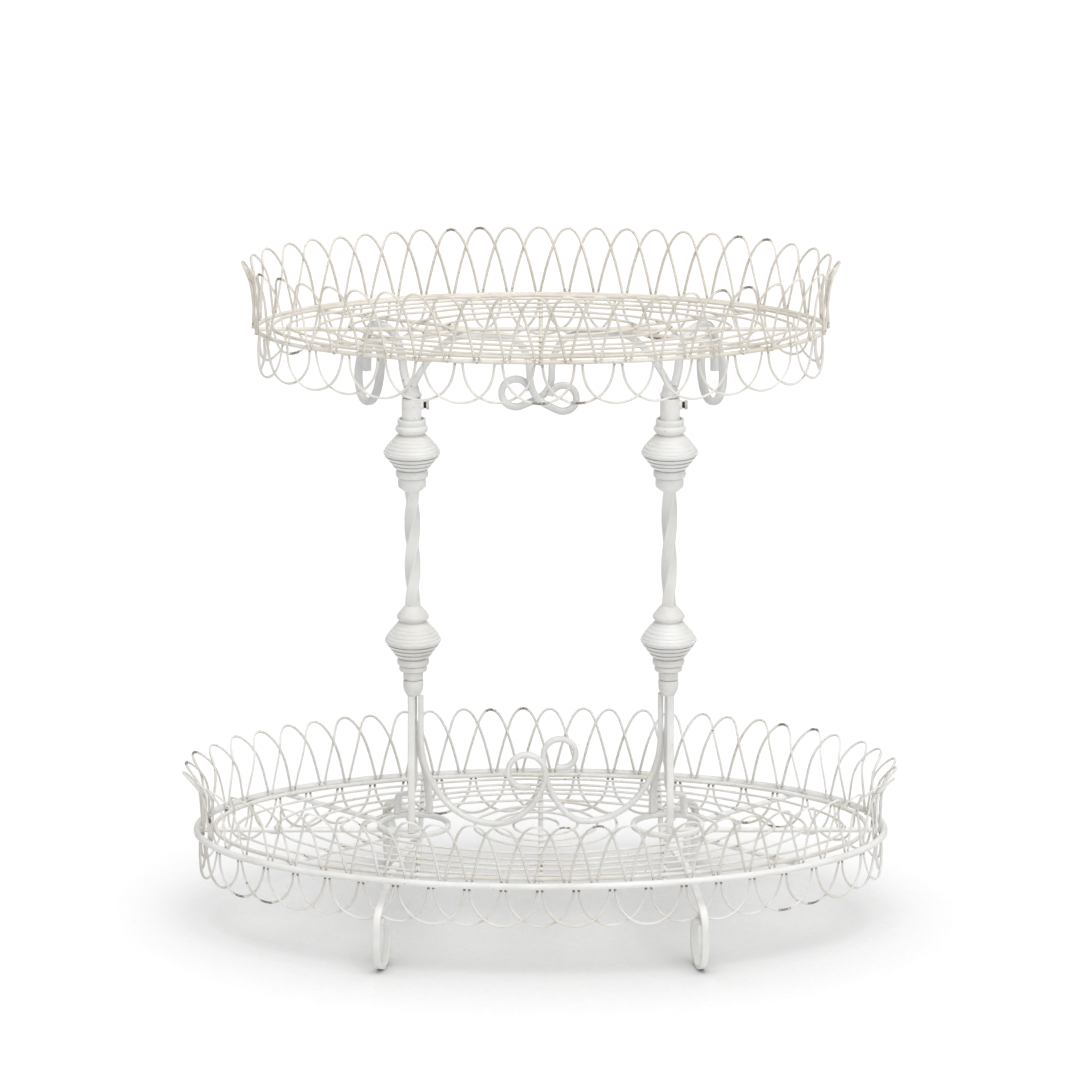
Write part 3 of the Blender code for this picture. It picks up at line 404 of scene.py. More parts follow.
def curl(centre, first_radius, last_radius, first_angle, last_angle, count):
    """Points round a centre, the radius changing steadily."""
    points = []
    for i in range(count):
        t = i / (count - 1)
        angle = radians(first_angle + (last_angle - first_angle) * t)
        radius = first_radius + (last_radius - first_radius) * t
        points.append(centre + Vector((cos(angle), sin(angle))) * radius)
    return points


def oval_sizes(largest, smallest, shares):
    """The half length and half width of each of the floor's ovals."""
    return [[small + (large - small) * share for large, small, share in zip(largest, smallest, pair)]
            for pair in shares]


def floor_wires(name, ovals, height, paint, seed, home):
    """Bends a wire round each of the floor's ovals."""
    for i, (half_length, half_width) in enumerate(ovals):
        rod(f"{name}_{i + 1}", floor_oval(half_length, half_width, height), WIRE, paint, seed + i, 0.0009,
            home, closed=True, steps=2)


lower_ovals = oval_sizes(LOWER_LARGEST, LOWER_SMALLEST, LOWER_OVAL_SHARES)
floor_wires("lower_floor_oval", lower_ovals, lower_wire_height, WIRE_ENAMEL, 30.0, STAND)
spiral = [Vector((spot.x, spot.y, lower_wire_height)) for spot in curl(
    Vector((0.0, SPIRAL_SET_BACK)), *SPIRAL_RADII, 0, 360 * SPIRAL_TURNS, SPIRAL_POINTS)]
rod("lower_floor_spiral", spiral, WIRE, WIRE_ENAMEL, 40.0, 0.0009, STAND, steps=2)


# ---- Tacks on the lower floor ----
# A small bead of weld wherever a floor wire crosses a bar, sunk between the two so that only its
# rounded rim shows, and brushed over with the same enamel.


def scorched_and_shaded(shape, amount):
    """Marks how dark the paint turns at each point by a weld: partly burnt by the weld's heat, partly painted
    shade in the gaps where wires meet the rim.
    """
    return shape.geo("StoreNamedAttribute", {
        0: shape, "Name": "weld", "Value": amount}, data_type="FLOAT", domain="POINT")


def weld_beads(given, points, chosen):
    """A bead of weld on each chosen point, darkened as burnt paint and as painted shade."""
    ball = given.geo("MeshUVSphere", {"Segments": 8, "Rings": 5, "Radius": 1.0})
    spread = given.add("FunctionNodeRandomValue", {
        "Min": (0.7, 0.7, 0.6), "Max": (1.25, 1.2, 1.1), "Seed": 5}, data_type="FLOAT_VECTOR")
    return given.geo("InstanceOnPoints", {
        0: points, "Selection": chosen, "Instance": scorched_and_shaded(ball, given["Scorch And Shade"]),
        "Scale": given.vector("SCALE", spread, factor=given["Weld"])})


def tack_tree():
    """A bead of weld on each point of a guide."""
    given = new_tree("tacks_of_weld", {"Weld": 0.0021, "Scorch And Shade": 0.7, "Paint": None})
    beads = weld_beads(given, given.geo("MeshToPoints", {0: given}), True)
    return end_tree(beads, given["Paint"])


TACK_TREE = tack_tree()
TACK_STEPS = 399
LOWER_TACK = 0.0023
LOWER_TACK_LIFT = 0.0006


def tacks(tray, bars, ovals, height, size, paint, home):
    """Finds where bars pass under nested ovals and tacks them there."""
    spots = []
    for start, end in bars:
        for half_length, half_width in ovals:
            inside = [abs(spot.x / half_length) ** OVAL_EXPONENT + abs(spot.y / half_width) ** OVAL_EXPONENT < 1
                      for spot in straight(start, end, TACK_STEPS + 1)]
            for i in range(TACK_STEPS):
                if inside[i] != inside[i + 1]:
                    spot = start.lerp(end, (i + 0.5) / TACK_STEPS)
                    spots.append(Vector((spot.x, spot.y, height)))
    grow(f"{tray}_tacks", TACK_TREE, guide(spots, joined=False),
         {"Weld": size, "Paint": paint}, home, [f"{tray}_floor_oval_{i + 1}" for i in range(len(ovals))])


tacks("lower", lower_bars.values(), lower_ovals, LOWER_HEIGHT + LOWER_TACK_LIFT, LOWER_TACK, WIRE_ENAMEL, STAND)


# ---- Lower wall ----
# Two wires, each bent into 28 tall arches that the other's arches cross. Each arch turns in a
# tight bend at its foot, welded inside the rim, stands nearly upright and flares at its top.

LOWER_ARCH_HEIGHT = 0.075
LOWER_ARCH_FLARE = 0.020
# For the outer and inner wire: where it starts, in arches from the +X end, and its seed.
LOWER_ARCH_STARTS = ((0.155, 3.155), (1.265, 4.265))
# Half an arch from its foot's bend to its top: share of the pitch, and of the height.
ARCH_LINE = ((1.0, 0.0), (0.957, 0.004), (0.925, 0.024), (0.905, 0.07), (0.81, 0.268), (0.67, 0.515),
             (0.53, 0.710), (0.40, 0.85), (0.27, 0.938), (0.14, 0.985), (0.0, 1.0))


def loop_points(half, spread=0.0):
    """A whole loop as a guide, without its last point, which starts the next loop. Its legs stand
    further from the next loop's by a share of the pitch."""
    whole = [(-way, rise) for way, rise in half] + list(half[-2:0:-1])
    return [Vector((way - spread * way ** 3 * abs(way) * (rise > 0), 0.0, rise)) for way, rise in whole]


def loop_tree():
    """Repeats a guide loop round an oval rim as one wire, with a bead of weld at each foot."""
    given = new_tree("wire_looped_round_a_rim", {
        "Half Length": 0.4, "Half Width": 0.22, "Height": 0.109, "Loops": 28, "First": 0.0, "Drift": 0.0,
        "Rise": 0.075, "Flare": 0.02, "Flare Start": 0.6, "Foot": -0.0055, "Side Step": 0.0015,
        "Width": 0.003, "Thickness": 0.003, "Corner": 0.00147, "Corner Steps": 1,
        "Unevenness": 0.0006, "Seed": 0.0, "Weld": 0.0022, "Scorch And Shade": 0.6, "Paint": None})
    rim = given.geo("CurvePrimitiveCircle", {"Resolution": 180, "Radius": 1.0}, mode="RADIUS")
    size = given.add("ShaderNodeCombineXYZ", {0: given["Half Length"], 1: given["Half Width"], 2: 1.0})
    rim = given.geo("Transform", {0: rim, "Scale": size})
    each = given.geo("AttributeDomainSize", {0: given}, "Point Count", component="MESH")
    number = given.geo("InputIndex")
    inside = given.math("MODULO", number, each)
    loop = given.math("FLOOR", (number + 0.5) / each)
    place = given.geo("InputPosition")
    drawn = given.geo("SampleIndex", {
        0: given, "Value": place, "Index": inside}, data_type="FLOAT_VECTOR", domain="POINT")
    shape = given.add("ShaderNodeSeparateXYZ", {0: drawn})
    uneven = given.add("ShaderNodeTexNoise", {
        "Vector": given.add("ShaderNodeCombineXYZ", {0: loop * 0.73, 1: given["Seed"]}),
        "Scale": 1.0, "Detail": 1.0}, "Color", noise_dimensions="2D")
    uneven = given.add("ShaderNodeSeparateXYZ", {0: uneven})
    rise = shape["Z"] * (1.0 + (uneven["X"] - 0.5) * given["Unevenness"] * 60.0)
    pitches = given["Loops"] * 2.0
    way = (loop * 2.0 + given["First"] + 0.5 + shape["X"]
           + (uneven["Y"] - 0.5) * shape["Z"] * given["Unevenness"] * 260.0) / pitches
    way = way + given.math("SINE", way * tau) * given["Drift"] / pitches
    spot = given.geo("SampleCurve", {
        0: rim, "Factor": given.math("FRACT", way)}, "Position", mode="FACTOR")
    outward = given.vector("CROSS_PRODUCT", spot["Tangent"], (0.0, 0.0, 1.0))
    outward = given.vector("NORMALIZE", outward)
    lean = given.math("POWER", given.math("MAXIMUM", (shape["Z"] - given["Flare Start"])
                                          / (1.0 - given["Flare Start"]), 0.0), 1.5)
    lean = lean * given["Flare"] * (1.0 + (uneven["Z"] - 0.5) * given["Unevenness"] * 400.0)
    aside = shape["Z"].step(0.04, 0.45) * given["Side Step"]
    out = given["Foot"] + aside + lean
    high = given.add("ShaderNodeCombineXYZ", {2: given["Height"] + rise * given["Rise"]})
    final = given.vector("ADD", given.vector("ADD", spot, high), given.vector("SCALE", outward, factor=out))
    line = given.geo("MeshLine", {
        "Count": each * given["Loops"], "Offset": (0.001, 0.0, 0.0)}, mode="OFFSET", count_mode="TOTAL")
    line = given.geo("MeshToCurve", {0: line})
    line = given.geo("SetSplineCyclic", {0: line, "Cyclic": True})
    line = given.geo("SetPosition", {0: line, "Position": final})
    chance = given.add("FunctionNodeRandomValue", {
        2: 0.0, 3: 1.0, "ID": loop, "Seed": 9}, 1, data_type="FLOAT")
    # The feet by the rim are darkened, partly as burnt paint and partly as painted shade in the gap against the
    # rod; a few tops are burnt bare.
    burn_and_shade = given.math("MAXIMUM", (1.0 - shape["Z"].step(0.09, 0.17)) * given["Scorch And Shade"],
                       chance.step(0.84, 0.85) * shape["Z"].step(0.93, 1.0) * 0.9)
    line = scorched_and_shaded(line, burn_and_shade)
    feet = given.geo("CurveToPoints", {0: line}, mode="EVALUATED")
    beads = weld_beads(given, feet, given.math("COMPARE", inside, 0.0))
    line = given.geo("CurveSplineType", {0: line}, spline_type="CATMULL_ROM")
    line = given.geo("SetSplineResolution", {0: line, "Resolution": 2})
    both = given.geo("JoinGeometry", {0: swept(given, line, False)})
    both.tree.links.new(beads.socket, both.node.inputs[0])
    return end_tree(both, given["Paint"])


LOOP_TREE = loop_tree()


def looped_wires(name, oval, points, sizes, starts, home):
    """An outer and an inner wire that repeat a loop round a rim."""
    for (first, seed), label, step in zip(starts, ("outer", "inner"), (WIRE / 2, -WIRE / 2)):
        grow(name + label, LOOP_TREE, guide(points, joined=False),
             {**sizes, "Half Length": oval.half_length, "Half Width": oval.half_width, "First": first,
              "Side Step": step, "Seed": seed}, home)


looped_wires("lower_arch_wire_", LOWER_OVAL, loop_points(ARCH_LINE), {
    "Height": LOWER_HEIGHT, "Loops": LOWER_ARCHES // 2, "Rise": LOWER_ARCH_HEIGHT, "Flare": LOWER_ARCH_FLARE,
    "Drift": -0.065, "Foot": -(LOWER_ROD + WIRE) / 2, "Weld": 0.0026, "Scorch And Shade": 0.55, "Paint": WIRE_ENAMEL},
    LOWER_ARCH_STARTS, STAND)


# ---- Lower scalloped edge ----
# Two more wires, each hanging from the rim's underside in 24 round scallops that cross. The
# bends between the scallops hug the rod, and the welds on them are darkened, partly as burnt
# paint and partly as painted shade in the gap under the rod.

LOWER_SCALLOPS = 48
LOWER_SCALLOP_DROP = 0.0485
LOWER_SCALLOP_SPREAD = 0.0103
LOWER_SCALLOP_STARTS = ((0.47, 7.47), (1.47, 8.47))
# Half a scallop from its bend under the rim to its lowest point.
SCALLOP_LINE = ((1.0, 0.0), (0.968, 0.006), (0.948, 0.028), (0.938, 0.075), (0.920, 0.19), (0.885, 0.34),
                (0.81, 0.52), (0.69, 0.69), (0.53, 0.835), (0.35, 0.93), (0.17, 0.985), (0.0, 1.0))


def edge_sizes(height, rim, loops, drop, scorch_and_shade, paint):
    """The sizes that both wires of an edge share. They hug the rim rod's inner underside."""
    reach = (rim + WIRE) / 2
    return {"Height": height - reach * 0.58, "Loops": loops, "Rise": -drop + reach * 0.58, "Flare": 0.0,
            "Foot": -reach * 0.81, "Weld": 0.0018, "Scorch And Shade": scorch_and_shade, "Paint": paint}


looped_wires("lower_scallop_wire_", LOWER_OVAL, loop_points(SCALLOP_LINE, LOWER_SCALLOP_SPREAD),
             edge_sizes(LOWER_HEIGHT, LOWER_ROD, LOWER_SCALLOPS // 2, LOWER_SCALLOP_DROP, 0.95, WIRE_ENAMEL),
             LOWER_SCALLOP_STARTS, STAND)


# ---- Feet ----
# Four 8.8 by 4.5 mm flat bars, each welded under a cross bar, run out beneath the floor and bent
# down into a full loop that stands on the ground.

FOOT_SPLAY = 12.3
FOOT_INSET = 0.0123
FOOT_WIDTH = 0.0088
FOOT_THICKNESS = 0.0045
FOOT_ROOT = 0.024
FOOT_BEND = 0.090
# The bend: out from the middle of the loop, and up from the ground, in millimetres.
FOOT_LINE = ((-66, 100.6), (-45, 97.6), (-22, 90), (0, 80.8), (15, 73.8), (24, 65), (27.2, 53), (27.2, 33),
             (23.6, 17), (14, 6.2), (0, 2.5), (-14, 6.2), (-23.6, 17), (-26.6, 33), (-22, 48), (-10, 57),
             (4, 59.8), (16, 58.4))


def smoothed(points, steps):
    """Points on a smooth line through the given points."""
    line = []
    for i in range(len(points) - 1):
        a, b = points[max(i - 1, 0)], points[i]
        c, d = points[i + 1], points[min(i + 2, len(points) - 1)]
        for step in range(steps):
            t = step / steps
            line.append(b * (1 + t * t * (1.5 * t - 2.5)) + c * (t * (0.5 + t * (2 - 1.5 * t)))
                        + a * (t * (-0.5 + t * (1 - 0.5 * t))) + d * (t * t * (0.5 * t - 0.5)))
    return line + [points[-1]]


def flat_bar(name, place, heading, points, width, thickness, paint, seed, home, nodes=None):
    """A flat bar bent in the upright plane of a place and a heading, with its width across the plane.
    Its points are (distance out, height)."""
    out = Vector((*heading, 0.0)).normalized()
    line = [Vector((*place, height)) + out * way for way, height in points]
    sizes = {"Width": width, "Thickness": thickness, "Corner": min(width, thickness) * 0.28, "Corner Steps": 2,
             "Across": (-out.y, out.x, 0.0), "Unevenness": 0.0002, "Seed": seed, "Paint": paint}
    return grow(name, BAR_TREE, guide(line), sizes, home, nodes)


def way_to_rim(start_x, across, along):
    """How far the lower rim is from a place on the long axis, in a direction."""
    a = (across / LOWER_HALF_LENGTH) ** 2 + (along / LOWER_HALF_WIDTH) ** 2
    b = start_x * across / LOWER_HALF_LENGTH ** 2
    c = (start_x / LOWER_HALF_LENGTH) ** 2 - 1
    return (sqrt(b * b - a * c) - b) / a


splay = radians(FOOT_SPLAY)
foot_reach = way_to_rim(cross_spot.x, sin(splay), cos(splay)) - FOOT_INSET
foot_height = lower_bar_height - LOWER_BAR / 2 - FOOT_THICKNESS / 2
foot_line = smoothed([Vector((FOOT_ROOT, foot_height)), Vector((foot_reach - FOOT_BEND, foot_height))]
                     + [Vector((foot_reach + out / 1000, high / 1000)) for out, high in FOOT_LINE], 5)
seed = 50.0
for side, label in SIDES:
    for depth, depth_label in DEPTHS:
        seed += 1.0
        flat_bar(f"foot_{label}_{depth_label}", (side * cross_spot.x, 0.0),
                 (side * sin(splay), depth * cos(splay)), foot_line, FOOT_WIDTH, FOOT_THICKNESS,
                 WHITE_ENAMEL, seed, STAND)


# ---- Base rings ----
# A ring of 6 mm bar with rounded edges under each column. It lies on the cross and diagonal bars
# and carries the straps.

for side, label in SIDES:
    ring = [Vector((side * COLUMN_X + BASE_RING_RADIUS * cos(angle), BASE_RING_RADIUS * sin(angle),
                    LOWER_HEIGHT + BASE_RING_BAR / 2)) for angle in (tau * i / 48 for i in range(48))]
    rod("base_ring_" + label, ring, BASE_RING_BAR, WHITE_ENAMEL, 60.0 + side, 0.0004, STAND, closed=True,
        corner=0.3)


# ---- Straps ----
# Three 8.4 by 5 mm flat bars under each column, welded inside the collar. The front and rear ones
# splay evenly to the ring, and the outer one drops straight down and then steps out.

STRAP_TOP = 0.2704
STRAP_FOOT = 0.1153
STRAP_RADIUS = 0.0076
STRAP_WIDTH = 0.0084
STRAP_THICKNESS = 0.005
# Place of the top, and direction of the foot.
STRAPS = {"front": (0.0022, -STRAP_RADIUS, -87), "rear": (0.0025, STRAP_RADIUS, 115), "outer": (0.0, 0.0, 60)}
# The outer strap: share of the way out, and height.
OUTER_STRAP = ((0.0, STRAP_TOP), (0.0, 0.225), (0.0, 0.180), (0.04, 0.160), (0.25, 0.1485), (0.60, 0.1435),
               (0.88, 0.1385), (0.99, 0.1290), (1.0, STRAP_FOOT))


def bent(start, lead, trail, end, count):
    """Points on a smooth bend, with both ends."""
    points = []
    for i in range(count):
        t = i / (count - 1)
        s = 1 - t
        points.append(start * s ** 3 + lead * (3 * s * s * t) + trail * (3 * s * t * t) + end * t ** 3)
    return points


for side, label in SIDES:
    for kind, (top_x, top_y, degrees) in STRAPS.items():
        seed += 1.0
        angle = radians(degrees)
        top = Vector((side * (COLUMN_X + top_x), top_y))
        foot = Vector((side * (COLUMN_X + BASE_RING_RADIUS * cos(angle)),
                       BASE_RING_RADIUS * sin(angle)))
        high, low = Vector((0.0, STRAP_TOP)), Vector(((foot - top).length, STRAP_FOOT))
        if kind == "outer":
            line = smoothed([Vector((low.x * out, up)) for out, up in OUTER_STRAP], 5)
        else:
            half = Vector((0.0, (STRAP_TOP - STRAP_FOOT) / 2))
            line = bent(high, high - half, low + half, low, 32)
        flat_bar(f"strap_{kind}_{label}", top, foot - top, line, STRAP_WIDTH, STRAP_THICKNESS,
                 WHITE_ENAMEL, seed, STAND)


# ---- Scrolls between the columns ----
# A 9 by 6 mm bar from each collar falls along the column, sweeps over the floor and curls up
# into a loop in the middle. The left one passes in front of the right one.

SCROLL_WIDTH = 0.009
SCROLL_THICKNESS = 0.006
SCROLL_OUT = 0.0088
SCROLL_SIDE_SET = 0.0048
SCROLL_KNEE_DROP = 0.0515
SCROLL_VALLEY = 0.052
# For each side: how far the loop's middle is past the stand's, its height over the floor, its radius.
SCROLL_LOOPS = ((-1, "left", -0.0180, 0.0650, 0.0235), (1, "right", -0.0235, 0.0840, 0.0205))
floor_top = LOWER_HEIGHT + WIRE
for side, label, past, rise, radius in SCROLL_LOOPS:
    seed += 1.0
    valley = Vector((COLUMN_X - SCROLL_VALLEY, floor_top + SCROLL_THICKNESS / 2))
    loop = curl(Vector((COLUMN_X + past, floor_top + rise)), radius, radius * 0.75, 0, 290, 44)
    knee = Vector((SCROLL_OUT, STRAP_TOP - SCROLL_KNEE_DROP))
    line = (straight(Vector((SCROLL_OUT, STRAP_TOP)), knee, 4)
            + bent(knee, knee.lerp(Vector((knee.x, valley.y)), 0.5),
                   Vector((COLUMN_X - 2 * SCROLL_VALLEY, valley.y)), valley, 26)[1:]
            + bent(valley, valley + Vector((SCROLL_VALLEY / 2, 0.0)),
                   loop[0] - Vector((0.0, (loop[0].y - valley.y) / 2)), loop[0], 18)[1:] + loop[1:])
    flat_bar("scroll_" + label, (side * COLUMN_X, side * SCROLL_SIDE_SET), (-side, 0.0), line,
             SCROLL_WIDTH, SCROLL_THICKNESS, WHITE_ENAMEL, seed, STAND)


# ---- Turned knops ----
# Cast and turned collars on each column, one under and one over the twisted bar: a double cone
# with deep grooves under it, faint ribs over it and beads. Heights are in millimetres.


def discs(low, low_radius, high, high_radius, count, depth):
    """Flat-edged discs up a cone, with a narrow deep groove under each."""
    steps = [((i + t) / count, share) for i in range(count)
             for t, share in ((0.0, 1.0), (0.13, 1.0), (0.17, 0.25), (0.26, 0.0), (0.94, 0.0))]
    return [(low + (high - low) * t, low_radius + (high_radius - low_radius) * t - depth * share)
            for t, share in steps]


def ribs(stations, count, depth):
    """Faint rounded ribs up a slope given by its stations of (height, radius)."""
    outline = []
    low, high = stations[0][0], stations[-1][0]
    for i in range(count * 4 + 1):
        height = low + (high - low) * i / (count * 4)
        near, far = [(a, b) for a, b in zip(stations, stations[1:]) if a[0] <= height + 1e-6][-1]
        radius = near[1] + (far[1] - near[1]) * (height - near[0]) / (far[0] - near[0])
        outline.append((height, radius - depth * (1.0, 0.25, 0.0, 0.3)[i % 4]))
    return outline


def bead(low, high, radius, groove):
    """A rounded ring round the column."""
    return [((low + high) / 2 - (high - low) / 2 * cos(angle), groove + (radius - groove) * sin(angle) ** 0.5)
            for angle in (pi * i / 6 for i in range(7))]


LOWER_KNOP = ([(0, 8), (1.4, 8.4), (4, 9.9), (7.5, 11.2), (12, 11.7), (17, 11.7), (17.9, 11.1), (18.1, 8.8),
               (19.2, 8.8), (19.4, 10.9), (20.4, 11.4), (27.7, 11.5), (28, 9.4), (28.9, 9.4)]
              + bead(29.1, 35.8, 16.2, 13.6) + bead(36.1, 44.7, 18.5, 14.6) + [(45, 14.6)]
              + discs(45.2, 18.4, 61.9, 30.4, 3, 2.6)
              + [(61.7, 27.4), (62.4, 27.4), (62.6, 30.2), (64.2, 31.9), (66.2, 32.5), (67.8, 32.2)]
              + ribs([(68.5, 31.7), (73.4, 29), (80, 23.9), (84, 20.4), (88.4, 16.2)], 5, 0.9)
              + [(89.2, 14.4), (90, 14.6), (90.6, 16.4), (92.2, 18), (94.2, 18.5), (96.6, 17.6),
                 (99.4, 15.6), (102.6, 13), (105.4, 10.8), (106.8, 8.6)])
UPPER_KNOP = ([(0, 8.6), (1, 10.2), (3, 12.4), (4.6, 14.2)] + bead(5, 16.3, 16.2, 14.4)
              + bead(16.7, 25.9, 18.8, 14.8) + [(26.3, 14.8)] + discs(26.5, 18.6, 42.3, 30.8, 3, 2.6)
              + [(42.1, 27.8), (43, 27.8), (43.2, 30.6), (44.6, 32.2), (46, 32.6), (47.4, 32.4)]
              + ribs([(48, 32.1), (52.5, 29.8), (59, 24.4), (63, 20.6), (67.2, 16.3)], 5, 0.9)
              + [(68, 13.8), (69, 13.8), (69.5, 15.8), (70.8, 17.6), (73.2, 18.6), (75.4, 18.5),
                 (77.2, 17.2), (78.2, 15.7), (79, 15.6), (79.7, 16.1), (84.6, 16.3), (85.4, 15.9),
                 (85.6, 15), (85.5, 13.9), (83, 13.4), (82.6, 11.4)])


def skin(bm, rings, closed=False):
    """Joins rings of points with faces, and caps the two ends unless the last joins the first."""
    for near, far in zip(rings, rings[1:] + rings[:1] if closed else rings[1:]):
        for i in range(len(near)):
            j = (i + 1) % len(near)
            bm.faces.new((near[i], near[j], far[j], far[i]))
    if not closed:
        bm.faces.new(rings[0])
        bm.faces.new(rings[-1])


def level_ring(bm, centre, radius, height, sides):
    """A level ring of points. The radius is in millimetres."""
    return [bm.verts.new((centre.x + radius / 1000 * cos(tau * i / sides),
                          centre.y + radius / 1000 * sin(tau * i / sides), height))
            for i in range(sides)]


def lathe(name, outline, centre, foot, paint, home, nodes=None, sides=48, smooth=38):
    """Turns an outline of (height, radius) in millimetres about an upright axis."""
    bm = bmesh.new()
    skin(bm, [level_ring(bm, centre, radius, foot + height / 1000, sides) for height, radius in outline])
    return finish_mesh("painted_" + name, bm, paint, home, nodes, smooth)


def finish_mesh(name, bm, paint, home, nodes=None, smooth=38):
    """Turns a closed mesh into a painted piece on its body."""
    bmesh.ops.recalc_face_normals(bm, faces=bm.faces)
    mesh = bpy.data.meshes.new(name)
    bm.to_mesh(mesh)
    bm.free()
    mesh.shade_smooth()
    mesh.set_sharp_from_angle(angle=radians(smooth))
    mesh.materials.append(paint)
    return place_piece(new_object(name, mesh), home, nodes)


KNOP_FOOT = 0.2703
UPPER_KNOP_FOOT = 0.5130
for side, label in SIDES:
    centre = column(side)
    lathe("lower_knop_" + label, LOWER_KNOP, centre, KNOP_FOOT, WHITE_ENAMEL, STAND)
    lathe("upper_knop_" + label, UPPER_KNOP, centre, UPPER_KNOP_FOOT, WHITE_ENAMEL, STAND)


# ---- Twisted bars ----
# A 13.7 mm square steel bar between each pair of knops, twisted hot through a little more than
# half a turn and let into the knops at both ends.

TWIST_FOOT = 0.3760
TWIST_TOP = 0.5150
TWIST_BAR = 0.0137
# For each side: turns up the bar, and where they begin.
TWISTS = ((-1, "left", 0.681, 0.1475), (1, "right", 0.566, -0.064))


def twist_tree():
    """A square bar twisted evenly along an upright guide."""
    given = new_tree("twisted_bar", {
        "Width": TWIST_BAR, "Thickness": TWIST_BAR, "Corner": 0.0015, "Corner Steps": 3, "Turns": 0.6,
        "Start": 0.0, "Steps": 90, "Paint": None})
    line = given.geo("MeshToCurve", {0: given})
    line = given.geo("ResampleCurve", {0: line, "Count": given["Steps"]}, mode="COUNT")
    line = given.geo("SetCurveNormal", {0: line, "Normal": (1.0, 0.0, 0.0)}, mode="FREE")
    along = given.geo("SplineParameter")
    line = given.geo("SetCurveTilt", {
        0: line, "Tilt": (given["Start"] + along * given["Turns"]) * tau})
    return end_tree(swept(given, line), given["Paint"])


TWIST_TREE = twist_tree()
for side, label, turns, begin in TWISTS:
    ends = [column(side, TWIST_FOOT), column(side, TWIST_TOP)]
    sizes = {"Turns": turns, "Start": begin, "Paint": WHITE_ENAMEL}
    grow("twisted_bar_" + label, TWIST_TREE, guide(ends), sizes, STAND)


# ---- Sleeves ----
# A short tube over each upper knop takes the upper tray's post. A boss on its +X side is bored
# for the set screw.

SLEEVE_FOOT = 0.5324
SCREW_HEIGHT = 0.6147
SCREW_SIDES = 24
# The sleeve's heights and radii, and the boss's distances from the column and radii, in millimetres.
SLEEVE_LINE = [(0, 8.3), (0, 11.3), (88.9, 11.3), (90.2, 10.9), (90.8, 10.2), (90.8, 8.8), (90.2, 8.3)]
BOSS_LINE = [(9.8, 5.6), (12.9, 5.5), (13.6, 5), (13.8, 4.4), (13.8, 3.2), (9.8, 3.2)]


def cross_ring(bm, x, radius, hexagon=False):
    """A ring of points round the screw's axis. A hexagon's radius is its corners'."""
    ring = []
    for i in range(SCREW_SIDES):
        angle = tau * i / SCREW_SIDES
        fold = (angle + pi / 6) % (pi / 3) - pi / 6
        reach = radius * (cos(pi / 6) / cos(pi / 6 - abs(fold)) if hexagon else 1)
        ring.append(bm.verts.new((x, reach * cos(angle), SCREW_HEIGHT + reach * sin(angle))))
    return ring


for side, label in SIDES:
    centre = column(side)
    bm = bmesh.new()
    skin(bm, [level_ring(bm, centre, radius, SLEEVE_FOOT + height / 1000, 40)
              for height, radius in SLEEVE_LINE], True)
    skin(bm, [cross_ring(bm, centre.x + along / 1000, radius / 1000) for along, radius in BOSS_LINE], True)
    finish_mesh("painted_sleeve_" + label, bm, WHITE_ENAMEL, STAND)


# ---- Set screws ----
# A 6 mm hexagon-headed screw through each boss, its head painted over in a darker grey that is
# painted shade. The thread between the boss and the head is near-black steel.

# The head's darker grey is painted shade.
SHADED_SCREW_ENAMEL = enamel("screw_enamel_painted_shade", (0.66, 0.65, 0.62), (0.50, 0.48, 0.45), 0.06, 0.05, 0.40)
BLACK_THREAD = enamel("black_thread", (0.030, 0.028, 0.028), (0.055, 0.045, 0.038), 0.0, 0.06, 0.45)


def screw_part(name, line, side, label, paint):
    """Turns a line of (along, radius, hexagon or not) in millimetres about the screw's axis."""
    bm = bmesh.new()
    skin(bm, [cross_ring(bm, side * COLUMN_X + along / 1000, radius / 1000, hexagon)
              for along, radius, hexagon in line])
    node = "set_screw_" + label
    finish_mesh(name + label, bm, paint, (node, "screw_paint"), [node], 25)


for side, label in SIDES:
    thread = [(8.35, 2.2, 0), (9.8, 3.0, 0), (14.1, 3.0, 0)]
    for turn in range(4):
        thread += [(14.1 + turn * 0.7, 3.6, 0), (14.35 + turn * 0.7, 4.4, 0), (14.6 + turn * 0.7, 3.6, 0)]
    screw_part("bare_screw_thread_", thread, side, label, BLACK_THREAD)
    screw_part("painted_screw_head_", [(16.8, 4.7, 0), (17.1, 5.6, 1), (19.3, 5.6, 1), (20.0, 4.9, 0)],
               side, label, SHADED_SCREW_ENAMEL)


# ---- Posts and outer arms ----
# Each post drops into its sleeve and stops on a rough lump of weld, which holds two 9 by 7.5 mm
# bars. The outer one runs out under the floor to the rear and hangs in an open curl.

# The posts and arms take a grey copy of the white enamel: painted shade for where they hang under the upper
# floor.
SHADED_GREY_ENAMEL = enamel("arm_enamel", (0.78, 0.78, 0.775), (0.67, 0.67, 0.655), 0.060, 0.02, 0.45)
ARMS = ("upper_tray", "grey_paint")
POST_HEAD = 0.6235
ARM_RISE = 0.05665
ARM_GAP = 0.0003
ARM_WIDTH = 0.009
ARM_THICKNESS = 0.0075
ARM_ROOT_SINK = 0.0015
WELD_HEIGHT = 0.016
# Heights over the sleeve and radii, in millimetres.
POST_LINE = [(-78, 6.5), (-76.5, 8), (0, 8), (8, 7.6), (9, 6.8)]
WELD_LINE = [(0.3, 7.4), (0.9, 10.2), (1.4, 11.2), (3, 11.4), (5, 10.6), (7.2, 9.4), (9.4, 8.7),
             (11.5, 8.5), (13.4, 8.1), (15, 7.2), (16.3, 5.4), (17, 3)]
OUTER_ARM_TURN = 62.5
OUTER_ARM_SIDE_SET = 0.007
OUTER_ARM_ROOT = -0.005
OUTER_ARM_REACH = 0.124
OUTER_ARM_DROP = 0.119
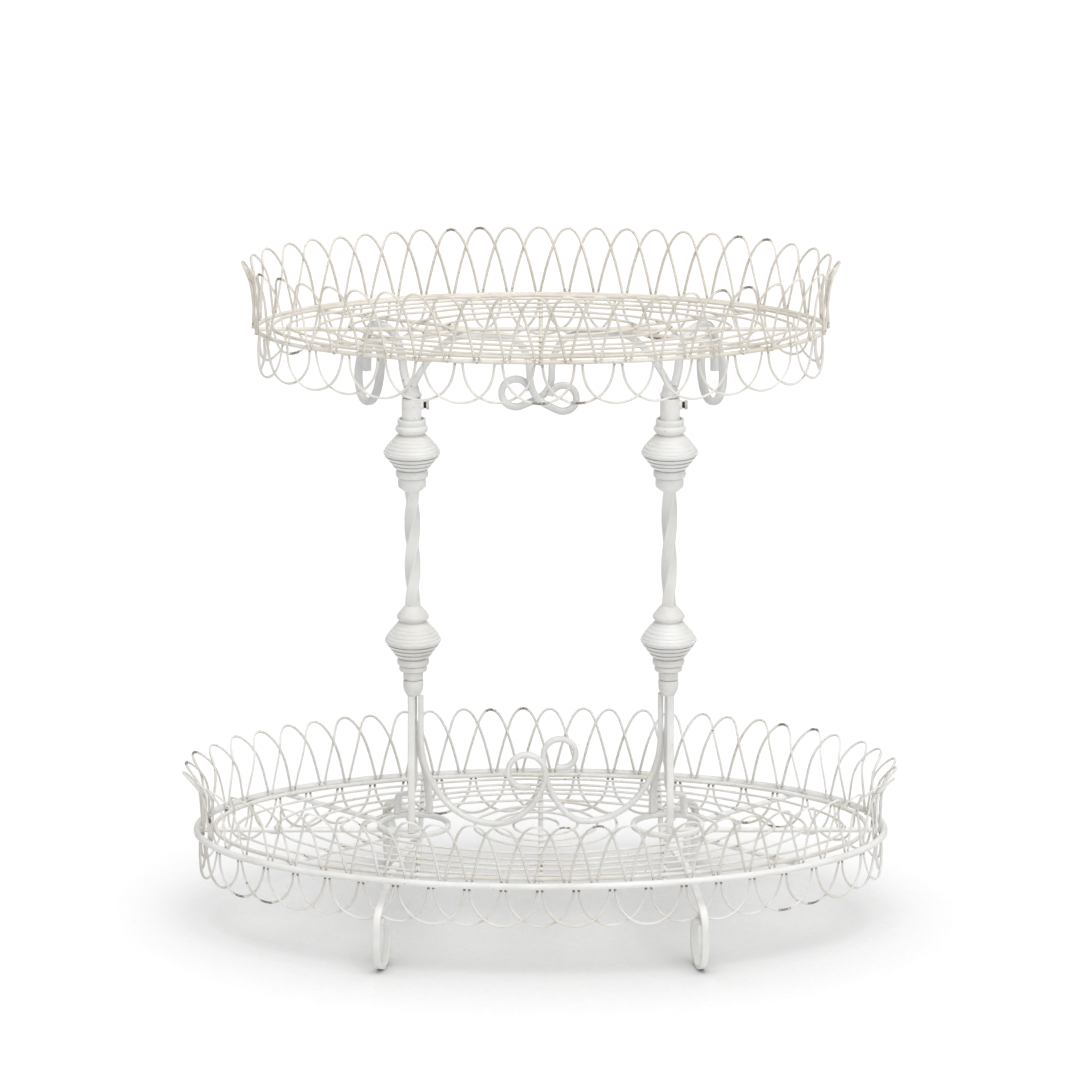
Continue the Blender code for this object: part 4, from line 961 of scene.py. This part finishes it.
# The outer arm's line after its root, as shares of its reach: out, and up from the floor bars.
OUTER_ARM_LINE = (
    (0.03, -0.37), (0.06, -0.265), (0.10, -0.175), (0.17, -0.080), (0.27, -0.024), (0.42, -0.004),
    (0.57, -0.007), (0.70, -0.055), (0.81, -0.19), (0.92, -0.37), (0.99, -0.56), (0.985, -0.70),
    (0.91, -0.815), (0.76, -0.825), (0.62, -0.71), (0.54, -0.54), (0.515, -0.37), (0.545, -0.235),
    (0.64, -0.185), (0.75, -0.25), (0.80, -0.38), (0.81, -0.52))
post_top = POST_HEAD + WELD_HEIGHT
arm_run = post_top + ARM_GAP + ARM_RISE
outer_line = smoothed([Vector((OUTER_ARM_ROOT, post_top - ARM_ROOT_SINK))]
                      + [Vector((OUTER_ARM_REACH * out, arm_run + OUTER_ARM_DROP * up))
                         for out, up in OUTER_ARM_LINE], 5)
turn = radians(OUTER_ARM_TURN)
for side, label in SIDES:
    seed += 1.0
    centre = column(side)
    lathe("post_" + label, POST_LINE, centre, POST_HEAD, SHADED_GREY_ENAMEL, ARMS, sides=40)
    lump = lathe("post_weld_" + label, WELD_LINE, centre, POST_HEAD, SHADED_GREY_ENAMEL, ARMS,
                 ["post_" + label], 32, 180)
    for point in lump.data.vertices:
        out = Vector((point.co.x - centre.x, point.co.y, 0.0))
        around, up = atan2(out.y, out.x), (point.co.z - POST_HEAD) * 1000
        wave = 0.5 * sin(3 * around + 0.9 * up + side) + 0.5 * sin(7 * around - 1.3 * up)
        point.co += out * (0.07 * wave * min(up / 2.0, 1.0))
    flat_bar("outer_arm_" + label, (side * (COLUMN_X + OUTER_ARM_SIDE_SET), 0.0),
             (side * cos(turn), sin(turn)), outer_line, ARM_WIDTH, ARM_THICKNESS, SHADED_GREY_ENAMEL, seed,
             ARMS, ["post_" + label])


# ---- Inner arms ----
# A 9 by 7.5 mm bar from each post runs in under the floor. The two cross in the middle and each
# turns back up into a loop, so that they hang as a pretzel.

INNER_ARM_SIDE_SET = 0.00465
INNER_ARM_ROOT = 0.0022
ARM_SHOULDER = 0.060
ARM_BEND = 0.045
ARM_HANG = 0.0126
ARM_HANG_DROP = 0.045
LOOP_START = 247
LOOP_END = 528
# For each side: how far the loop's middle is past the stand's, how far under the floor, its radius.
ARM_LOOPS = ((-1, "left", 0.0255, 0.0727, 0.0153), (1, "right", 0.0285, 0.0687, 0.0165))
for side, label, past, drop, radius in ARM_LOOPS:
    seed += 1.0
    loop = curl(Vector((COLUMN_X + past, arm_run - drop)), radius, radius * 0.97, LOOP_START, LOOP_END, 48)
    heading = Vector((-sin(radians(LOOP_START)), cos(radians(LOOP_START))))
    foot = Vector((INNER_ARM_ROOT, post_top - ARM_ROOT_SINK))
    root = foot + Vector((0.0035, ARM_THICKNESS))
    shoulder, bend = Vector((ARM_SHOULDER, arm_run)), Vector((COLUMN_X - ARM_BEND, arm_run))
    hang = Vector((COLUMN_X - ARM_HANG, arm_run - ARM_HANG_DROP))
    swing = (hang.x - bend.x) * 0.7
    line = ([foot]
            + bent(root, root + Vector((0.015, ARM_RISE / 2)), shoulder - Vector((0.020, 0.0)), shoulder, 20)
            + bent(bend, bend + Vector((swing, 0.0)), hang + Vector((0.0, swing)), hang, 18)
            + bent(hang, hang - Vector((0.0, ARM_HANG_DROP * 0.6)), loop[0] - heading * (swing * 0.9),
                   loop[0], 18)[1:] + loop[1:])
    flat_bar("inner_arm_" + label, (side * COLUMN_X, side * INNER_ARM_SIDE_SET), (-side, 0.0), line,
             ARM_WIDTH, ARM_THICKNESS, SHADED_GREY_ENAMEL, seed, ARMS)


# ---- Upper floor frame ----
# A 5 mm rod along the axis, one across the middle and four diagonals, with a 4 mm ring welded
# on top just inside the rim. The tray's enamel has yellowed more than the stand's.

CREAM_ENAMEL = enamel("cream_enamel", (0.83, 0.79, 0.725), (0.72, 0.67, 0.59), 0.050, 0.04, 0.45)
TRAY = ("upper_tray", "cream_paint")
FRAME_NODE = ["upper_floor_frame"]
UPPER_HALF_LENGTH = 0.323
UPPER_HALF_WIDTH = 0.178
UPPER_HEIGHT = 0.7055
UPPER_ROD = 0.005
UPPER_RING_INSET = 0.018
UPPER_RING_WIRE = 0.004
UPPER_RING_LIFT = 0.0018
AXIS_BAR = 0.005
THIN_BAR = 0.0046
UPPER_ARCHES = 48
DIAGONAL_FROM = 0.24
DIAGONAL_TO_ARCH = 3.75
UPPER_OVAL = Oval(UPPER_HALF_LENGTH, UPPER_HALF_WIDTH)
upper_bar_height = UPPER_HEIGHT - AXIS_BAR / 2
upper_reach = UPPER_ROD / 2
end_spot, corner_spot, side_spot = [UPPER_OVAL.at_share(share, -upper_reach, upper_bar_height)
                                    for share in (0.0, DIAGONAL_TO_ARCH / UPPER_ARCHES, 0.25)]
upper_bars = [("axis", mirrored(end_spot, -1, 1), end_spot, AXIS_BAR),
              ("centre", mirrored(side_spot, 1, -1), side_spot, THIN_BAR)]
for side, label in SIDES:
    for depth, depth_label in DEPTHS:
        start = Vector((side * UPPER_HALF_LENGTH * DIAGONAL_FROM, 0.0, upper_bar_height))
        end = mirrored(corner_spot, side, depth)
        upper_bars.append((f"diagonal_{label}_{depth_label}", start, end, THIN_BAR))
for kind, start, end, diameter in upper_bars:
    seed += 1.0
    rod(f"upper_{kind}_bar", straight(start, end), diameter, CREAM_ENAMEL, seed, 0.0003, TRAY, FRAME_NODE)
rod("upper_inner_ring", UPPER_OVAL.ring(-UPPER_RING_INSET, UPPER_HEIGHT + UPPER_RING_LIFT),
    UPPER_RING_WIRE, CREAM_ENAMEL, 91.0, 0.0005, TRAY, FRAME_NODE, True)


# ---- Upper floor wires ----
# Five nested ovals of 3 mm wire on the frame, nipped at their ends like the lower ones and tacked
# at each crossing.

UPPER_OVAL_SHARES = ((1.0, 1.0), (0.798, 0.766), (0.596, 0.532), (0.213, 0.277), (0.0, 0.0))
UPPER_LARGEST = (0.288, 0.146)
UPPER_SMALLEST = (0.110, 0.052)
UPPER_TACK = 0.0020
UPPER_TACK_LIFT = 0.0003
upper_ovals = oval_sizes(UPPER_LARGEST, UPPER_SMALLEST, UPPER_OVAL_SHARES)
floor_wires("upper_floor_oval", upper_ovals, UPPER_HEIGHT + WIRE / 2, CREAM_ENAMEL, 100.0, TRAY)
tacks("upper", [(start, end) for _, start, end, _ in upper_bars], upper_ovals,
      UPPER_HEIGHT + UPPER_TACK_LIFT, UPPER_TACK, CREAM_ENAMEL, TRAY)


# ---- Upper rim, wall and edge ----
# A 5 mm rim rod. The wall's wires are welded to its outside, and flare less than below. The
# scallops under it are 18 to a wire.

PALE_ENAMEL = enamel("pale_cream_enamel", (0.85, 0.83, 0.79), (0.77, 0.74, 0.68), 0.055, 0.02, 0.45)
UPPER_ARCH_HEIGHT = 0.0762
UPPER_ARCH_FLARE = 0.010
UPPER_ARCH_STARTS = ((-0.51, 11.0), (0.49, 12.0))
UPPER_SCALLOPS = 36
UPPER_SCALLOP_DROP = 0.048
UPPER_SCALLOP_SPREAD = 0.053
UPPER_SCALLOP_STARTS = ((0.44, 15.0), (1.44, 16.0))
rod("upper_rim_rod", UPPER_OVAL.ring(0.0, UPPER_HEIGHT), UPPER_ROD, CREAM_ENAMEL, 110.0, 0.0004, TRAY,
    closed=True)
looped_wires("upper_arch_wire_", UPPER_OVAL, loop_points(ARCH_LINE), {
    "Height": UPPER_HEIGHT, "Loops": UPPER_ARCHES // 2, "Rise": UPPER_ARCH_HEIGHT, "Flare": UPPER_ARCH_FLARE,
    "Drift": 0.10, "Foot": (UPPER_ROD + WIRE) / 2, "Weld": 0.0024, "Scorch And Shade": 0.55, "Paint": CREAM_ENAMEL},
    UPPER_ARCH_STARTS, TRAY)
looped_wires("upper_scallop_wire_", UPPER_OVAL, loop_points(SCALLOP_LINE, UPPER_SCALLOP_SPREAD),
             edge_sizes(UPPER_HEIGHT, UPPER_ROD, UPPER_SCALLOPS // 2, UPPER_SCALLOP_DROP, 0.55, PALE_ENAMEL),
             UPPER_SCALLOP_STARTS, TRAY)


# ---- Studio ----
# A plain pale floor, soft light from above and in front, and the camera at the photo's angle.
# The camera sees the floor as nearly white, with a soft painted shadow under the stand: its glow dims with
# ambient occlusion.

FLOOR_COLOUR = (0.90, 0.90, 0.90, 1.0)


def seen_rays(tree):
    """The kinds of ray, and 1 for a ray that the camera sees, straight or in a gloss."""
    rays = Tap(tree, tree.nodes.new("ShaderNodeLightPath"))
    return rays, rays.math("MINIMUM", rays["Is Camera Ray"] + rays["Is Glossy Ray"]
                           + rays["Is Transmission Ray"], 1.0)


floor_mesh = bpy.data.meshes.new("floor")
floor_mesh.from_pydata([(-30, -30, 0), (30, -30, 0), (30, 30, 0), (-30, 30, 0)], [], [(0, 1, 2, 3)])
floor = new_object("floor", floor_mesh)
floor_paint = bpy.data.materials.new("pale_floor")
floor_paint.use_nodes = True
tree = floor_paint.node_tree
tree.nodes.clear()
rays, seen = seen_rays(tree)
matt = rays.add("ShaderNodeBsdfDiffuse", {"Color": FLOOR_COLOUR})
# Painted shadow: the floor's glow for the camera dims with ambient occlusion where the stand is near.
near = rays.add("ShaderNodeAmbientOcclusion", {"Distance": 0.5}, "AO", samples=16)
painted_shadow_glow = rays.math("POWER", near, 2.1).blend((0.0, 0.0, 0.0, 1.0), (1.0, 1.0, 1.0, 1.0))
lit = rays.add("ShaderNodeAddShader", {
    0: rays.add("ShaderNodeBsdfDiffuse", {"Color": (0.5, 0.5, 0.5, 1.0)}),
    1: rays.add("ShaderNodeEmission", {"Color": painted_shadow_glow, "Strength": 0.58})})
both = rays.add("ShaderNodeMixShader", {0: seen, 1: matt, 2: lit})
tree.links.new(both.socket, tree.nodes.new("ShaderNodeOutputMaterial").inputs[0])
floor_mesh.materials.append(floor_paint)
floor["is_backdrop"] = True

world = bpy.data.worlds.new("studio")
bpy.context.scene.world = world
world.use_nodes = True
tree = world.node_tree
rays, seen = seen_rays(tree)
sky = rays.add("ShaderNodeSeparateXYZ", {0: rays.add("ShaderNodeTexCoord", output="Generated")})
level = 0.15 + 0.25 * sky["Z"].step(-0.2, 0.9)
level = seen * (1.0 - level) + level
background = tree.nodes["Background"]
background.inputs["Color"].default_value = (1.0, 1.0, 1.0, 1.0)
tree.links.new(level.socket, background.inputs["Strength"])

for name, energy, spread, towards in (
        ("key", 1.85, 45, (-0.10, 0.30, -0.95)), ("front", 0.85, 60, (-0.35, 1.0, -0.25))):
    lamp = bpy.data.lights.new(name, "SUN")
    lamp.energy = energy
    lamp.angle = radians(spread)
    new_object(name, lamp).rotation_euler = Vector(towards).to_track_quat("-Z", "Y").to_euler()

camera = new_object("camera", bpy.data.cameras.new("camera"))
camera.data.sensor_width = 36.0
camera.data.lens = 185.3
camera.data.clip_end = 100.0
camera.location = (-0.0009, -6.174, 2.0864)
camera.rotation_euler = (radians(75.2), 0.0, 0.0)
bpy.context.scene.camera = camera
bpy.context.scene.view_settings.view_transform = "Standard"

low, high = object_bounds()
